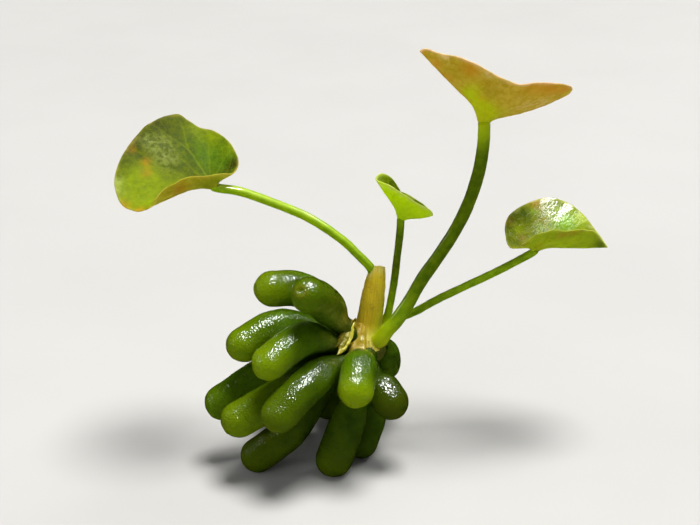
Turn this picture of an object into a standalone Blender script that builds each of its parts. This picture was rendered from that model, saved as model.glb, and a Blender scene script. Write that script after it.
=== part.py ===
"""Banana lily (a small water plant), lifted out of the water and standing on its tubers.

A cluster of swollen, banana-shaped tubers hangs from a short crown.  Four leaf
stalks and one papery sheath rise from the top of the crown, and each stalk
carries one cupped, kidney-shaped blade.

Every table below is in millimetres: x to the right, y away from the front,
z up from the surface that the plant stands on.  SHIFT then brings the origin
to the middle of the plant's footprint.
"""

import bpy
import bmesh
import math
import numpy as np
from mathutils import Vector

for old in list(bpy.data.objects):
    bpy.data.objects.remove(old, do_unlink=True)

# ---------------------------------------------------------------- dimensions
MM = 0.001                       # the tables are in mm, Blender is in metres
SHIFT = (-1.20, 0.40, 0.0)       # mm, plant origin to the middle of the footprint

CROWN_AT = (0.8, 0.6, 18.5)      # mm, middle of the crown
CROWN_RADII = (3.5, 3.4, 3.2)    # mm
NECK = 1.0                       # mm, radius of a tuber where it leaves the crown
NECK_GAP = 0.62                  # mm, from the crown to the middle of a neck's end
BLADE = 0.5                      # mm, thickness of a leaf blade
WALL = 0.35                      # mm, thickness of the sheath

TUBER_SIDES = 12
STALK_SIDES = 8

# name: (radius, way the neck leaves the crown (azimuth from +x, elevation, degrees),
#        shoulder, upper belly, lower belly, middle of the rounded tip)
# a standing tip's middle is a little less than its radius above the surface, so
# that it is pressed flat there
TUBERS = {
    "tuber_01_top_back":    (2.75, (160, 50), (-3.7, 1.9, 23.4), (-6.4, 2.2, 26.3), (-9.8, 1.4, 28.2), (-13.5, 0.0, 28.9)),
    "tuber_02_top_front":   (2.70, (225, 48), (-3.1, -2.8, 24.6), (-4.3, -5.1, 27.8), (-5.8, -7.8, 30.4), (-7.4, -10.5, 32.4)),
    "tuber_03_left_upper":  (2.80, (182, 22), (-6.5, -0.9, 21.8), (-10.2, -2.2, 23.4), (-14.0, -4.1, 23.8), (-17.6, -6.0, 22.2)),
    "tuber_04_left_front":  (2.75, (222, 14), (-5.4, -4.9, 22.2), (-8.2, -7.8, 23.9), (-10.8, -10.1, 23.4), (-13.3, -12.0, 21.9)),
    "tuber_05_left_back":   (2.80, (176, -12), (-6.7, -0.4, 18.1), (-10.9, -1.2, 17.0), (-16.3, -2.6, 14.3), (-21.4, -4.1, 11.2)),
    "tuber_06_left_lower":  (2.90, (214, -18), (-5.6, -3.2, 16.9), (-9.4, -6.3, 15.5), (-14.0, -8.8, 13.4), (-18.3, -10.0, 11.3)),
    "tuber_07_front_long":  (2.95, (255, -2), (-4.1, -6.7, 18.5), (-6.4, -10.1, 18.5), (-9.1, -13.0, 17.1), (-11.7, -15.0, 14.8)),
    "tuber_08_foot_left":   (2.75, (190, -48), (-4.6, -1.2, 13.7), (-7.7, -2.9, 10.0), (-11.6, -4.9, 5.7), (-15.9, -5.7, 2.6)),
    "tuber_09_front_short": (2.85, (283, 18), (1.0, -5.7, 19.9), (0.3, -8.6, 19.7), (-0.1, -10.7, 18.9), (-0.4, -12.5, 17.7)),
    "tuber_10_right_back":  (2.50, (50, -8), (3.6, 5.1, 16.2), (4.3, 7.3, 14.6), (4.7, 9.7, 12.4), (4.7, 11.6, 10.2)),
    "tuber_11_right":       (2.75, (300, -42), (2.9, -3.4, 14.7), (3.8, -4.6, 13.8), (4.5, -5.6, 13.1), (5.1, -6.4, 12.4)),
    "tuber_12_foot_front":  (2.90, (258, -38), (-0.7, -4.2, 15.1), (-0.8, -6.0, 12.4), (-1.9, -6.6, 7.9), (-3.8, -7.2, 2.75)),
    "tuber_13_foot_right":  (2.65, (300, -80), (1.3, 1.3, 12.3), (1.9, 1.6, 8.7), (1.7, 0.8, 5.3), (0.6, -1.2, 2.5)),
    "tuber_14_foot_back_left":  (2.75, (142, -38), (-3.6, 2.7, 14.8), (-6.4, 4.0, 11.6), (-9.2, 5.4, 7.4), (-11.0, 6.5, 2.6)),
    "tuber_15_foot_back":       (2.75, (98, -38), (-1.2, 5.0, 14.7), (-3.1, 7.5, 11.6), (-4.4, 10.2, 7.4), (-4.9, 12.0, 2.6)),
    "tuber_16_foot_back_right": (2.65, (50, -48), (1.8, 4.6, 13.3), (1.5, 6.8, 9.6), (2.1, 8.9, 6.1), (2.4, 11.2, 2.5)),
    "tuber_17_back_left":       (2.70, (142, -2), (-3.7, 3.5, 17.9), (-7.1, 5.3, 17.1), (-10.8, 6.7, 15.2), (-14.0, 7.0, 12.5)),
    "tuber_18_back":            (2.70, (105, -4), (-0.7, 5.3, 17.8), (-1.5, 8.5, 17.0), (-2.4, 11.9, 14.7), (-3.0, 14.5, 11.5)),
}

# name: (radius at the base, in the middle, at the blade, points from base to blade)
STALKS = {
    "petiole_left": (0.72, 0.68, 0.68, [
        (1.25, 0.9, 22.1), (1.7, 0.7, 25.4), (2.0, 0.45, 28.6), (2.0, 0.15, 31.1), (1.25, -0.3, 33.3), (-0.1, -0.8, 35.4),
        (-2.0, -1.15, 37.3), (-5.1, -1.6, 39.7), (-8.6, -2.0, 42.0), (-13.9, -2.4, 44.4), (-18.0, -2.5, 45.9), (-21.4, -2.5, 46.5)]),
    "petiole_centre": (0.75, 0.60, 0.60, [
        (3.9, 1.7, 20.8), (4.7, 1.5, 23.6), (5.2, 1.3, 26.4), (5.7, 1.0, 30.0), (6.1, 0.7, 34.3), (6.4, 0.3, 37.5), (6.55, 0.05, 39.9)]),
    "petiole_tall": (1.25, 1.02, 0.95, [
        (3.8, -1.8, 20.5), (4.7, -1.8, 22.4), (6.1, -1.6, 24.2), (7.9, -1.2, 27.2), (9.9, -0.9, 30.9), (12.5, -0.5, 34.8),
        (15.0, -0.2, 39.0), (16.9, 0.1, 43.3), (18.2, 0.4, 47.8), (18.8, 0.6, 52.0), (18.9, 0.6, 55.65)]),
    "petiole_right": (0.62, 0.62, 0.60, [
        (2.4, 3.4, 21.0), (4.2, 3.5, 21.8), (6.2, 3.2, 22.4), (9.2, 2.8, 23.8), (12.5, 2.6, 25.9), (17.1, 2.4, 28.4), (21.5, 2.1, 30.8), (24.3, 1.8, 32.7), (26.4, 1.6, 34.45)]),
}

# the sheath: (centre, inner radius) from its foot on the crown to its mouth
SHEATH = [((1.2, 0.9, 22.0), 1.45), ((1.35, 0.85, 23.6), 1.50), ((1.7, 0.7, 25.9), 1.50),
          ((2.0, 0.5, 28.4), 1.38), ((2.05, 0.3, 29.9), 1.24), ((2.05, 0.2, 30.9), 1.18)]
SHEATH_TIP = 1.7                 # mm, how far the right of the mouth stands above its left

# name: (joint, rim points (x, y, z, sag)) round the rim; sag is how far the
# surface between joint and rim hangs below a straight line
BLADES = {
    "blade_left": ((-22.6, -2.5, 47.2), [
        (-22.6, -4.6, 49.2, 0.1), (-24.7, -5.6, 49.7, 0.1), (-26.6, -6.4, 49.3, 0.1), (-28.9, -7.4, 47.7, 0.0),
        (-30.4, -8.0, 46.0, -0.2), (-32.0, -7.9, 44.8, -0.2), (-34.1, -6.8, 44.6, 0.0), (-35.5, -5.6, 45.5, 0.2),
        (-36.4, -3.6, 47.5, 0.4), (-36.2, -1.8, 49.2, 0.6), (-35.4, 0.2, 50.9, 0.9), (-34.2, 2.0, 52.4, 1.1),
        (-32.5, 4.0, 54.0, 1.2), (-30.5, 5.5, 54.8, 1.2), (-27.9, 6.8, 55.2, 1.0), (-26.3, 6.4, 54.4, 0.9),
        (-24.5, 5.6, 53.4, 1.0), (-22.2, 4.8, 53.1, 1.0), (-20.0, 3.0, 52.2, 0.8), (-18.7, 1.0, 51.0, 0.6),
        (-18.1, -1.0, 49.8, 0.4), (-18.9, -2.9, 49.0, 0.2), (-20.7, -4.1, 49.1, 0.1)]),
    "blade_centre": ((6.6, 0.0, 40.4), [
        (2.7, -0.8, 47.6, 0.1), (3.9, -1.6, 47.2, 0.1), (5.3, -2.2, 46.3, 0.2), (6.6, -2.4, 45.3, 0.3),
        (8.2, -2.1, 43.8, 0.4), (10.0, -1.2, 42.6, 0.3), (11.1, 0.2, 41.8, 0.2), (10.1, 1.6, 42.2, 0.3),
        (8.8, 2.2, 42.9, 0.4), (7.0, 2.4, 44.1, 0.4), (5.5, 2.0, 46.0, 0.3), (4.2, 1.0, 47.6, 0.2), (3.1, 0.1, 48.1, 0.1)]),
    "blade_top": ((18.9, 0.6, 56.3), [
        (9.1, -1.0, 67.2, 0.2), (11.5, -2.8, 67.2, 0.4), (14.6, -3.9, 66.7, 0.5), (17.4, -4.2, 65.6, 0.5),
        (20.0, -4.0, 64.0, 0.5), (22.4, -3.7, 63.0, 0.6), (25.0, -3.3, 62.7, 0.8), (27.6, -2.6, 62.8, 0.9),
        (30.0, -1.6, 62.0, 0.8), (31.5, 0.1, 60.6, 0.7), (30.6, 2.6, 59.0, 0.8), (28.2, 5.0, 58.3, 1.0),
        (24.7, 6.4, 58.6, 1.0), (21.0, 6.6, 59.8, 0.9), (17.2, 5.6, 61.6, 0.7), (13.6, 3.8, 63.8, 0.5), (10.6, 1.4, 66.0, 0.3)]),
    "blade_right": ((26.9, 1.6, 35.3), [
        (23.8, 0.2, 36.5, 0.2), (25.2, -1.0, 37.3, 0.2), (27.3, -1.6, 38.6, 0.3), (29.4, -1.6, 39.3, 0.4),
        (31.8, -1.2, 38.9, 0.4), (34.2, -0.4, 38.9, 0.4), (36.3, 0.8, 38.2, 0.3), (37.7, 1.6, 36.5, 0.2),
        (38.9, 2.4, 34.9, 0.1), (38.2, 3.9, 35.8, 0.3), (36.8, 5.2, 37.4, 0.6), (34.9, 6.8, 39.4, 0.9),
        (32.5, 8.0, 40.6, 1.1), (29.6, 8.2, 41.0, 1.2), (27.1, 7.2, 40.6, 1.1), (24.9, 5.4, 40.1, 0.9),
        (23.5, 3.8, 39.2, 0.6), (23.2, 2.0, 37.9, 0.4)]),
}

# ---------------------------------------------------------------- materials
LOOKS = {  # colour, roughness
    "tuber": ((0.055, 0.150, 0.006), 0.22),
    "crown": ((0.420, 0.380, 0.040), 0.45),
    "sheath": ((0.480, 0.330, 0.060), 0.60),
    "petiole": ((0.150, 0.280, 0.012), 0.30),
    "blade_left": ((0.180, 0.300, 0.012), 0.35),
    "blade_centre": ((0.300, 0.480, 0.015), 0.40),
    "blade_top": ((0.400, 0.230, 0.040), 0.50),
    "blade_right": ((0.220, 0.340, 0.012), 0.30),
}


def material(key):
    """A plain Principled material, one for each kind of piece."""
    found = bpy.data.materials.get(key)
    if found:
        return found
    colour, rough = LOOKS[key]
    new = bpy.data.materials.new(key)
    new.use_nodes = True
    shader = new.node_tree.nodes["Principled BSDF"]
    shader.inputs["Base Color"].default_value = (*colour, 1.0)
    shader.inputs["Roughness"].default_value = rough
    shader.inputs["Metallic"].default_value = 0.0
    return new


# ---------------------------------------------------------------- curves
def spline(points, count, closed=False):
    """count points at even steps along a smooth curve through the given ones."""
    p = np.asarray(points, float)
    if closed:
        q = np.vstack([p[-1], p, p[0], p[1]])
    else:
        q = np.vstack([2 * p[0] - p[1], p, 2 * p[-1] - p[-2]])
    fine = []
    for i in range(len(q) - 3):
        a, b, c, d = q[i:i + 4]
        for t in np.linspace(0.0, 1.0, 12, endpoint=False):
            fine.append(0.5 * (2 * b + (c - a) * t + (2 * a - 5 * b + 4 * c - d) * t * t
                               + (3 * b - a - 3 * c + d) * t ** 3))
    fine.append(q[1] if closed else q[-2])
    fine = np.array(fine)
    run = np.r_[0.0, np.cumsum(np.linalg.norm(np.diff(fine[:, :3], axis=0), axis=1))]
    at = np.linspace(0.0, run[-1], count + 1 if closed else count)
    out = np.stack([np.interp(at, run, fine[:, k]) for k in range(fine.shape[1])], axis=1)
    return out[:-1] if closed else out


def frames(line):
    """A tangent and two steady side directions at each point of a line."""
    tangent = np.gradient(line, axis=0)
    tangent /= np.linalg.norm(tangent, axis=1)[:, None]
    side = np.cross(tangent[0], (0.0, 0.0, 1.0))
    if np.linalg.norm(side) < 0.2:
        side = np.cross(tangent[0], (0.0, 1.0, 0.0))
    sides = []
    for t in tangent:
        side = side - t * np.dot(side, t)
        side = side / np.linalg.norm(side)
        sides.append(side)
    sides = np.array(sides)
    return tangent, sides, np.cross(tangent, sides)


def place(point):
    return Vector([(point[k] + SHIFT[k]) * MM for k in range(3)])


def finish(name, bm, look, sharp=60):
    """Turns a bmesh into a named object with its material."""
    bmesh.ops.recalc_face_normals(bm, faces=bm.faces)
    mesh = bpy.data.meshes.new(name)
    bm.to_mesh(mesh)
    bm.free()
    mesh.shade_smooth()
    mesh.set_sharp_from_angle(angle=math.radians(sharp))
    mesh.materials.append(material(look))
    thing = bpy.data.objects.new(name, mesh)
    bpy.context.collection.objects.link(thing)
    return thing


def sweep(bm, line, radii, sides):
    """Round rings along a line, closed at both ends with a point each."""
    _, u, v = frames(line)
    rings = []
    for p, r, a, b in zip(line, radii, u, v):
        ring = []
        for k in range(sides):
            w = 2 * math.pi * k / sides
            ring.append(bm.verts.new(place(p + r * (math.cos(w) * a + math.sin(w) * b))))
        rings.append(ring)
    for low, high in zip(rings, rings[1:]):
        for k in range(sides):
            bm.faces.new((low[k], low[(k + 1) % sides], high[(k + 1) % sides], high[k]))
    return rings


def cap(bm, ring, point):
    tip = bm.verts.new(place(point))
    for k in range(len(ring)):
        bm.faces.new((ring[k], ring[(k + 1) % len(ring)], tip))


# ---------------------------------------------------------------- pieces
def on_crown(azimuth, elevation, gap=NECK_GAP):
    """The point just off the crown's surface in a direction from its middle."""
    a, e = math.radians(azimuth), math.radians(elevation)
    way = np.array((math.cos(a) * math.cos(e), math.sin(a) * math.cos(e), math.sin(e)))
    reach = 1.0 / np.linalg.norm(way / np.asarray(CROWN_RADII))
    return np.asarray(CROWN_AT) + way * (reach + gap)


def tuber(name, radius, way, shoulder, upper, lower, tip):
    """A banana-shaped tuber: narrow neck, even belly, rounded blunt tip."""
    neck = on_crown(*way)
    line = spline([neck, shoulder, upper, lower, tip], 9)
    run = np.linspace(0.0, 1.0, len(line))
    swell = np.clip(run / 0.62, 0.0, 1.0)
    swell = swell * swell * (3 - 2 * swell)
    radii = NECK + (radius - NECK) * swell
    radii[0] = 0.6 * NECK
    tangent, _, _ = frames(line)
    # the rounded tip goes on past the last point of the line
    extra, thin = [], []
    for turn in (30, 56, 76):
        w = math.radians(turn)
        extra.append(line[-1] + tangent[-1] * radius * math.sin(w))
        thin.append(radius * math.cos(w))
    end = line[-1] + tangent[-1] * radius
    line = np.vstack([line, extra])
    radii = np.r_[radii, thin]
    bm = bmesh.new()
    rings = sweep(bm, line, radii, TUBER_SIDES)
    cap(bm, rings[-1], end)
    cap(bm, rings[0], line[0])
    if min(v.co.z for v in bm.verts) < 0.0:
        # the tip that the plant stands on is pressed flat against the surface
        cut = bmesh.ops.bisect_plane(bm, geom=bm.verts[:] + bm.edges[:] + bm.faces[:], dist=1e-7,
                                     plane_co=(0, 0, 0), plane_no=(0, 0, -1), clear_outer=True)
        rim = [e for e in cut["geom_cut"] if isinstance(e, bmesh.types.BMEdge)]
        bmesh.ops.holes_fill(bm, edges=rim, sides=0)
        for v in bm.verts:
            if abs(v.co.z) < 1e-6:
                v.co.z = 0.0
    return finish(name, bm, "tuber")


def crown():
    """The short stem that everything grows from: a rounded knob."""
    bm = bmesh.new()
    bmesh.ops.create_icosphere(bm, subdivisions=3, radius=1.0)
    for v in bm.verts:
        c = v.co.copy()
        v.co = place([CROWN_AT[k] + CROWN_RADII[k] * c[k] for k in range(3)])
    return finish("crown", bm, "crown")


def stalk(name, base, middle, top, points):
    """A leaf stalk, a little thicker towards the crown."""
    count = 14 if len(points) > 9 else 11
    line = spline(points, count)
    run = np.linspace(0.0, 1.0, count)
    radii = np.interp(run, (0.0, 0.25, 1.0), (base, middle, top))
    bm = bmesh.new()
    rings = sweep(bm, line, radii, STALK_SIDES)
    cap(bm, rings[0], line[0])
    cap(bm, rings[-1], line[-1])
    return finish(name, bm, "petiole")


def sheath():
    """A papery tube round the foot of the left stalk, open at both ends."""
    table = [(*c, r) for c, r in SHEATH]
    line = spline(table, 7)
    centre, inner = line[:, :3], line[:, 3]
    _, u, v = frames(centre)
    bm = bmesh.new()
    sides = 12
    walls = []
    for grow in (0.0, WALL):
        rings = []
        for i, (p, r, a, b) in enumerate(zip(centre, inner, u, v)):
            lift = SHEATH_TIP * max(0.0, (i - 4) / 2.0)
            ring = []
            for k in range(sides):
                w = 2 * math.pi * k / sides
                way = math.cos(w) * a + math.sin(w) * b
                side = 0.5 + 0.5 * (0.8 * way[0] + 0.6 * way[1])
                q = p + (r + grow) * way + np.array((0.0, 0.0, lift * side))
                ring.append(bm.verts.new(place(q)))
            rings.append(ring)
        walls.append(rings)
    inside, outside = walls
    for rings in walls:
        for low, high in zip(rings, rings[1:]):
            for k in range(sides):
                bm.faces.new((low[k], low[(k + 1) % sides], high[(k + 1) % sides], high[k]))
    for end in (0, -1):
        for k in range(sides):
            j = (k + 1) % sides
            bm.faces.new((inside[end][k], inside[end][j], outside[end][j], outside[end][k]))
    return finish("leaf_sheath", bm, "sheath")


def blade(name, joint, rim):
    """A cupped leaf blade: ribs fan out from the joint to a closed rim."""
    joint = np.asarray(joint, float)
    around = 2 * len(rim)
    loop = spline(rim, around, closed=True)
    edge, sag = loop[:, :3], loop[:, 3]
    opening = edge.mean(axis=0) - joint
    opening /= np.linalg.norm(opening)
    steps = (0.22, 0.48, 0.75, 1.0)
    grid = []
    for s in steps:
        ring = joint + (edge - joint) * s - np.outer(sag * 4 * s * (1 - s), opening)
        grid.append(ring)
    # normals of the middle surface
    points = np.vstack([joint[None]] + grid)
    faces = []
    for k in range(around):
        j = (k + 1) % around
        faces.append((0, 1 + k, 1 + j))
        for i in range(len(steps) - 1):
            a, b = 1 + i * around, 1 + (i + 1) * around
            faces.append((a + k, b + k, b + j))
            faces.append((a + k, b + j, a + j))
    normals = np.zeros_like(points)
    for f in faces:
        n = np.cross(points[f[1]] - points[f[0]], points[f[2]] - points[f[0]])
        for i in f:
            normals[i] += n
    normals /= np.linalg.norm(normals, axis=1)[:, None]
    bm = bmesh.new()
    upper = [bm.verts.new(place(p + n * BLADE / 2)) for p, n in zip(points, normals)]
    lower = [bm.verts.new(place(p - n * BLADE / 2)) for p, n in zip(points, normals)]
    for f in faces:
        bm.faces.new([upper[i] for i in f])
        bm.faces.new([lower[i] for i in reversed(f)])
    last = 1 + (len(steps) - 1) * around
    for k in range(around):
        j = (k + 1) % around
        bm.faces.new((upper[last + k], upper[last + j], lower[last + j], lower[last + k]))
    return finish(name, bm, name)


for name, row in TUBERS.items():
    tuber(name, *row)
crown()
sheath()
for name, row in STALKS.items():
    stalk(name, *row)
for name, row in BLADES.items():
    blade(name, *row)
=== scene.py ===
"""Looks of the banana lily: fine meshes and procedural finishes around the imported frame.

Tables are in millimetres, x to the right, y away from the front, z up.
"""

import math

import bpy
import numpy as np
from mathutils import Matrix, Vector


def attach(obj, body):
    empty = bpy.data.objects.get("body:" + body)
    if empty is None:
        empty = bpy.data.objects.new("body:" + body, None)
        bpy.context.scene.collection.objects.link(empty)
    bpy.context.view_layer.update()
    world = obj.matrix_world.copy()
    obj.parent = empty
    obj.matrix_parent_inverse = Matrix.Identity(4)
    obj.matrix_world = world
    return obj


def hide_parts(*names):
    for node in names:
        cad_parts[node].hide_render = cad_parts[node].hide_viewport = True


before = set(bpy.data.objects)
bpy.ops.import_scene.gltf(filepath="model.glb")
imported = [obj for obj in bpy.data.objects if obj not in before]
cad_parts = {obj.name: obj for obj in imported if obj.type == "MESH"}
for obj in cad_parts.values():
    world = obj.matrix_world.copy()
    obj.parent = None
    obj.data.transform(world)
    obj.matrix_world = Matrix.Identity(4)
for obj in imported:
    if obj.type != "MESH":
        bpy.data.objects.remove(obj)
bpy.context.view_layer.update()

MM = 0.001
SHIFT = np.array((-1.20, 0.40, 0.0))

CROWN_AT = np.array((0.8, 0.6, 18.5))
CROWN_RADII = np.array((3.5, 3.4, 3.2))
NECK_GAP = 0.62

# ------------------------------------------------------------------ tables
# the same centre lines, joints and rims as the solids have
TUBERS = {
    "tuber_01_top_back":    (2.75, (160, 50), (-3.7, 1.9, 23.4), (-6.4, 2.2, 26.3), (-9.8, 1.4, 28.2), (-13.5, 0.0, 28.9)),
    "tuber_02_top_front":   (2.70, (225, 48), (-3.1, -2.8, 24.6), (-4.3, -5.1, 27.8), (-5.8, -7.8, 30.4), (-7.4, -10.5, 32.4)),
    "tuber_03_left_upper":  (2.80, (182, 22), (-6.5, -0.9, 21.8), (-10.2, -2.2, 23.4), (-14.0, -4.1, 23.8), (-17.6, -6.0, 22.2)),
    "tuber_04_left_front":  (2.75, (222, 14), (-5.4, -4.9, 22.2), (-8.2, -7.8, 23.9), (-10.8, -10.1, 23.4), (-13.3, -12.0, 21.9)),
    "tuber_05_left_back":   (2.80, (176, -12), (-6.7, -0.4, 18.1), (-10.9, -1.2, 17.0), (-16.3, -2.6, 14.3), (-21.4, -4.1, 11.2)),
    "tuber_06_left_lower":  (2.90, (214, -18), (-5.6, -3.2, 16.9), (-9.4, -6.3, 15.5), (-14.0, -8.8, 13.4), (-18.3, -10.0, 11.3)),
    "tuber_07_front_long":  (2.95, (255, -2), (-4.1, -6.7, 18.5), (-6.4, -10.1, 18.5), (-9.1, -13.0, 17.1), (-11.7, -15.0, 14.8)),
    "tuber_08_foot_left":   (2.75, (190, -48), (-4.6, -1.2, 13.7), (-7.7, -2.9, 10.0), (-11.6, -4.9, 5.7), (-15.9, -5.7, 2.6)),
    "tuber_09_front_short": (2.85, (281, 2), (0.9, -5.7, 19.2), (0.3, -8.6, 19.5), (-0.1, -10.7, 18.9), (-0.4, -12.5, 17.7)),
    "tuber_10_right_back":  (2.50, (50, -8), (3.6, 5.1, 16.2), (4.3, 7.3, 14.6), (4.7, 9.7, 12.4), (4.7, 11.6, 10.2)),
    "tuber_11_right":       (2.75, (300, -42), (2.9, -3.4, 14.7), (3.8, -4.6, 13.8), (4.5, -5.6, 13.1), (5.1, -6.4, 12.4)),
    "tuber_12_foot_front":  (2.90, (258, -38), (-0.7, -4.2, 15.1), (-0.8, -6.0, 12.4), (-1.9, -6.6, 7.9), (-3.8, -7.2, 2.75)),
    "tuber_13_foot_right":  (2.65, (300, -80), (1.3, 1.3, 12.3), (1.9, 1.6, 8.7), (1.7, 0.8, 5.3), (0.6, -1.2, 2.5)),
    "tuber_14_foot_back_left":  (2.75, (142, -38), (-3.6, 2.7, 14.8), (-6.4, 4.0, 11.6), (-9.2, 5.4, 7.4), (-11.0, 6.5, 2.6)),
    "tuber_15_foot_back":       (2.75, (98, -38), (-1.2, 5.0, 14.7), (-3.1, 7.5, 11.6), (-4.4, 10.2, 7.4), (-4.9, 12.0, 2.6)),
    "tuber_16_foot_back_right": (2.65, (50, -48), (1.8, 4.6, 13.3), (1.5, 6.8, 9.6), (2.1, 8.9, 6.1), (2.4, 11.2, 2.5)),
    "tuber_17_back_left":       (2.70, (142, -2), (-3.7, 3.5, 17.9), (-7.1, 5.3, 17.1), (-10.8, 6.7, 15.2), (-14.0, 7.0, 12.5)),
    "tuber_18_back":            (2.70, (105, -4), (-0.7, 5.3, 17.8), (-1.5, 8.5, 17.0), (-2.4, 11.9, 14.7), (-3.0, 14.5, 11.5)),
}
# how each tuber is tinted: (yellow-green tip, olive cast, darkness, old end scar); the darkness is partly a deeper
# green and partly painted shade on the tubers that lie in shade among the others
TINTS = {
    "tuber_01_top_back": (0.95, 0.10, 0.00, 0.0), "tuber_02_top_front": (0.35, 0.10, 0.30, 0.6),
    "tuber_03_left_upper": (0.62, 0.10, 0.00, 0.2), "tuber_04_left_front": (0.92, 0.05, 0.06, 0.0),
    "tuber_05_left_back": (0.25, 0.00, 0.15, 0.1), "tuber_06_left_lower": (0.68, 0.35, 0.00, 0.1),
    "tuber_07_front_long": (0.48, 0.35, 0.36, 0.3), "tuber_08_foot_left": (0.35, 0.55, 0.35, 0.6),
    "tuber_09_front_short": (1.15, 0.05, 0.00, 0.1), "tuber_10_right_back": (0.20, 0.20, 0.00, 0.2),
    "tuber_11_right": (0.20, 0.75, 0.60, 0.2), "tuber_12_foot_front": (0.50, 0.45, 0.50, 0.1),
    "tuber_13_foot_right": (0.10, 0.20, 0.45, 0.1), "tuber_14_foot_back_left": (0.45, 0.20, 0.10, 0.1),
    "tuber_15_foot_back": (0.40, 0.35, 0.10, 0.2), "tuber_16_foot_back_right": (0.30, 0.25, 0.15, 0.1),
    "tuber_17_back_left": (0.55, 0.15, 0.05, 0.4), "tuber_18_back": (0.60, 0.30, 0.05, 0.2),
}

STALKS = {
    "petiole_left": (0.72, 0.68, 0.68, [
        (1.25, 0.9, 22.1), (1.7, 0.7, 25.4), (2.15, 0.45, 28.6), (2.4, 0.2, 30.6), (2.2, 0.0, 31.9), (1.4, -0.3, 33.2), (-0.35, -0.8, 35.25),
        (-2.1, -1.15, 37.2), (-5.1, -1.6, 39.7), (-8.6, -2.0, 42.0), (-13.9, -2.4, 44.4), (-18.0, -2.5, 45.9), (-21.4, -2.5, 46.5)]),
    "petiole_centre": (0.75, 0.60, 0.60, [
        (3.9, 1.7, 20.8), (4.7, 1.5, 23.6), (5.2, 1.3, 26.4), (5.7, 1.0, 30.0), (6.1, 0.7, 34.3), (6.4, 0.3, 37.5), (6.55, 0.05, 39.9)]),
    "petiole_tall": (1.25, 1.02, 0.95, [
        (3.35, -1.5, 20.8), (4.45, -1.7, 22.5), (6.05, -1.6, 24.3), (7.9, -1.2, 27.2), (9.9, -0.9, 30.9), (12.5, -0.5, 34.8),
        (15.0, -0.2, 39.0), (16.9, 0.1, 43.3), (18.2, 0.4, 47.8), (18.8, 0.6, 52.0), (18.9, 0.6, 55.65)]),
    "petiole_right": (0.62, 0.62, 0.60, [
        (2.4, 3.4, 21.0), (4.2, 3.5, 21.8), (6.2, 3.2, 22.4), (9.2, 2.8, 23.8), (12.5, 2.6, 25.9), (17.1, 2.4, 28.4), (21.5, 2.1, 30.8), (24.7, 1.7, 32.8), (27.4, 1.5, 34.6)]),
}

BLADES = {
    "blade_left": ((-22.6, -2.5, 47.2), [
        (-22.6, -4.6, 49.0, -0.2), (-24.7, -5.6, 49.35, -0.3), (-26.6, -6.4, 48.9, -0.35), (-28.9, -7.4, 47.5, -0.35),
        (-30.4, -8.0, 46.0, -0.35), (-32.0, -7.9, 44.8, -0.2), (-34.1, -6.8, 44.6, 0.0), (-35.5, -5.6, 45.5, 0.2),
        (-36.4, -3.6, 47.5, 0.4), (-36.2, -1.8, 49.2, 0.6), (-35.4, 0.2, 50.9, 0.9), (-34.2, 2.0, 52.4, 1.1),
        (-32.5, 4.0, 54.0, 1.2), (-30.5, 5.5, 54.8, 1.2), (-27.9, 6.8, 55.2, 1.0), (-26.3, 6.4, 54.4, 0.9),
        (-24.5, 5.6, 53.4, 1.0), (-22.2, 4.8, 53.1, 1.0), (-20.0, 3.0, 52.2, 0.8), (-18.7, 1.0, 51.0, 0.6),
        (-18.1, -1.0, 49.8, 0.4), (-18.9, -2.9, 49.0, 0.2), (-20.7, -4.1, 49.1, 0.1)]),
    "blade_centre": ((6.6, -0.1, 41.4), [
        (2.7, -0.6, 47.0, 0.1), (3.6, -1.2, 46.8, 0.1), (4.75, -1.6, 46.5, 0.15), (6.0, -1.9, 45.7, 0.2),
        (7.3, -2.0, 44.9, 0.3), (8.6, -1.9, 43.9, 0.4), (9.9, -1.6, 43.1, 0.5), (10.8, -1.3, 42.5, 0.5), (11.3, -0.5, 41.6, 0.5),
        (11.2, 0.4, 41.0, 0.5), (10.8, 1.0, 41.6, 0.4), (9.9, 1.2, 42.5, 0.3), (8.6, 1.4, 43.3, 0.3), (7.1, 1.6, 44.4, 0.3),
        (6.0, 1.5, 45.6, 0.3), (4.9, 1.1, 46.9, 0.2), (3.7, 0.4, 47.7, 0.1), (2.85, -0.1, 47.5, 0.1)]),
    "blade_top": ((18.9, 0.6, 57.0), [
        (9.1, -0.7, 66.9, 0.2), (9.6, -2.0, 67.5, 0.3), (11.7, -3.1, 67.2, 0.4), (14.6, -3.9, 66.7, 0.5), (17.4, -4.2, 65.6, 0.5),
        (20.0, -4.0, 64.0, 0.5), (22.4, -3.7, 63.0, 0.6), (25.0, -3.3, 62.7, 0.8), (27.6, -2.6, 62.8, 0.9),
        (30.2, -1.7, 62.3, 0.8), (31.3, -0.6, 61.6, 0.7), (31.7, 0.9, 60.4, 0.7), (30.6, 2.8, 59.0, 0.9), (28.2, 4.8, 57.8, 1.1),
        (24.7, 6.3, 58.1, 1.1), (21.0, 6.6, 59.5, 0.9), (17.2, 5.6, 61.6, 0.7), (13.6, 3.8, 63.8, 0.5), (10.6, 1.4, 66.0, 0.3)]),
    "blade_right": ((28.0, 1.4, 35.5), [
        (23.5, -0.1, 36.0, 0.1), (25.2, -1.0, 37.0, 0.2), (27.3, -1.6, 38.6, 0.3), (29.4, -1.6, 39.3, 0.4),
        (31.8, -1.2, 38.9, 0.4), (34.2, -0.4, 38.9, 0.4), (36.3, 0.8, 38.2, 0.3), (37.7, 1.6, 36.5, 0.2),
        (38.9, 2.4, 34.9, 0.1), (38.2, 3.9, 35.8, 0.3), (36.8, 5.2, 37.4, 0.4), (34.9, 6.8, 39.4, 0.4),
        (32.5, 8.0, 40.6, 0.45), (29.6, 8.2, 41.0, 0.5), (27.1, 7.2, 40.6, 0.6), (24.9, 5.4, 40.1, 0.6),
        (23.4, 3.8, 39.2, 0.6), (22.9, 1.8, 37.6, 0.3)]),
}


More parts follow.
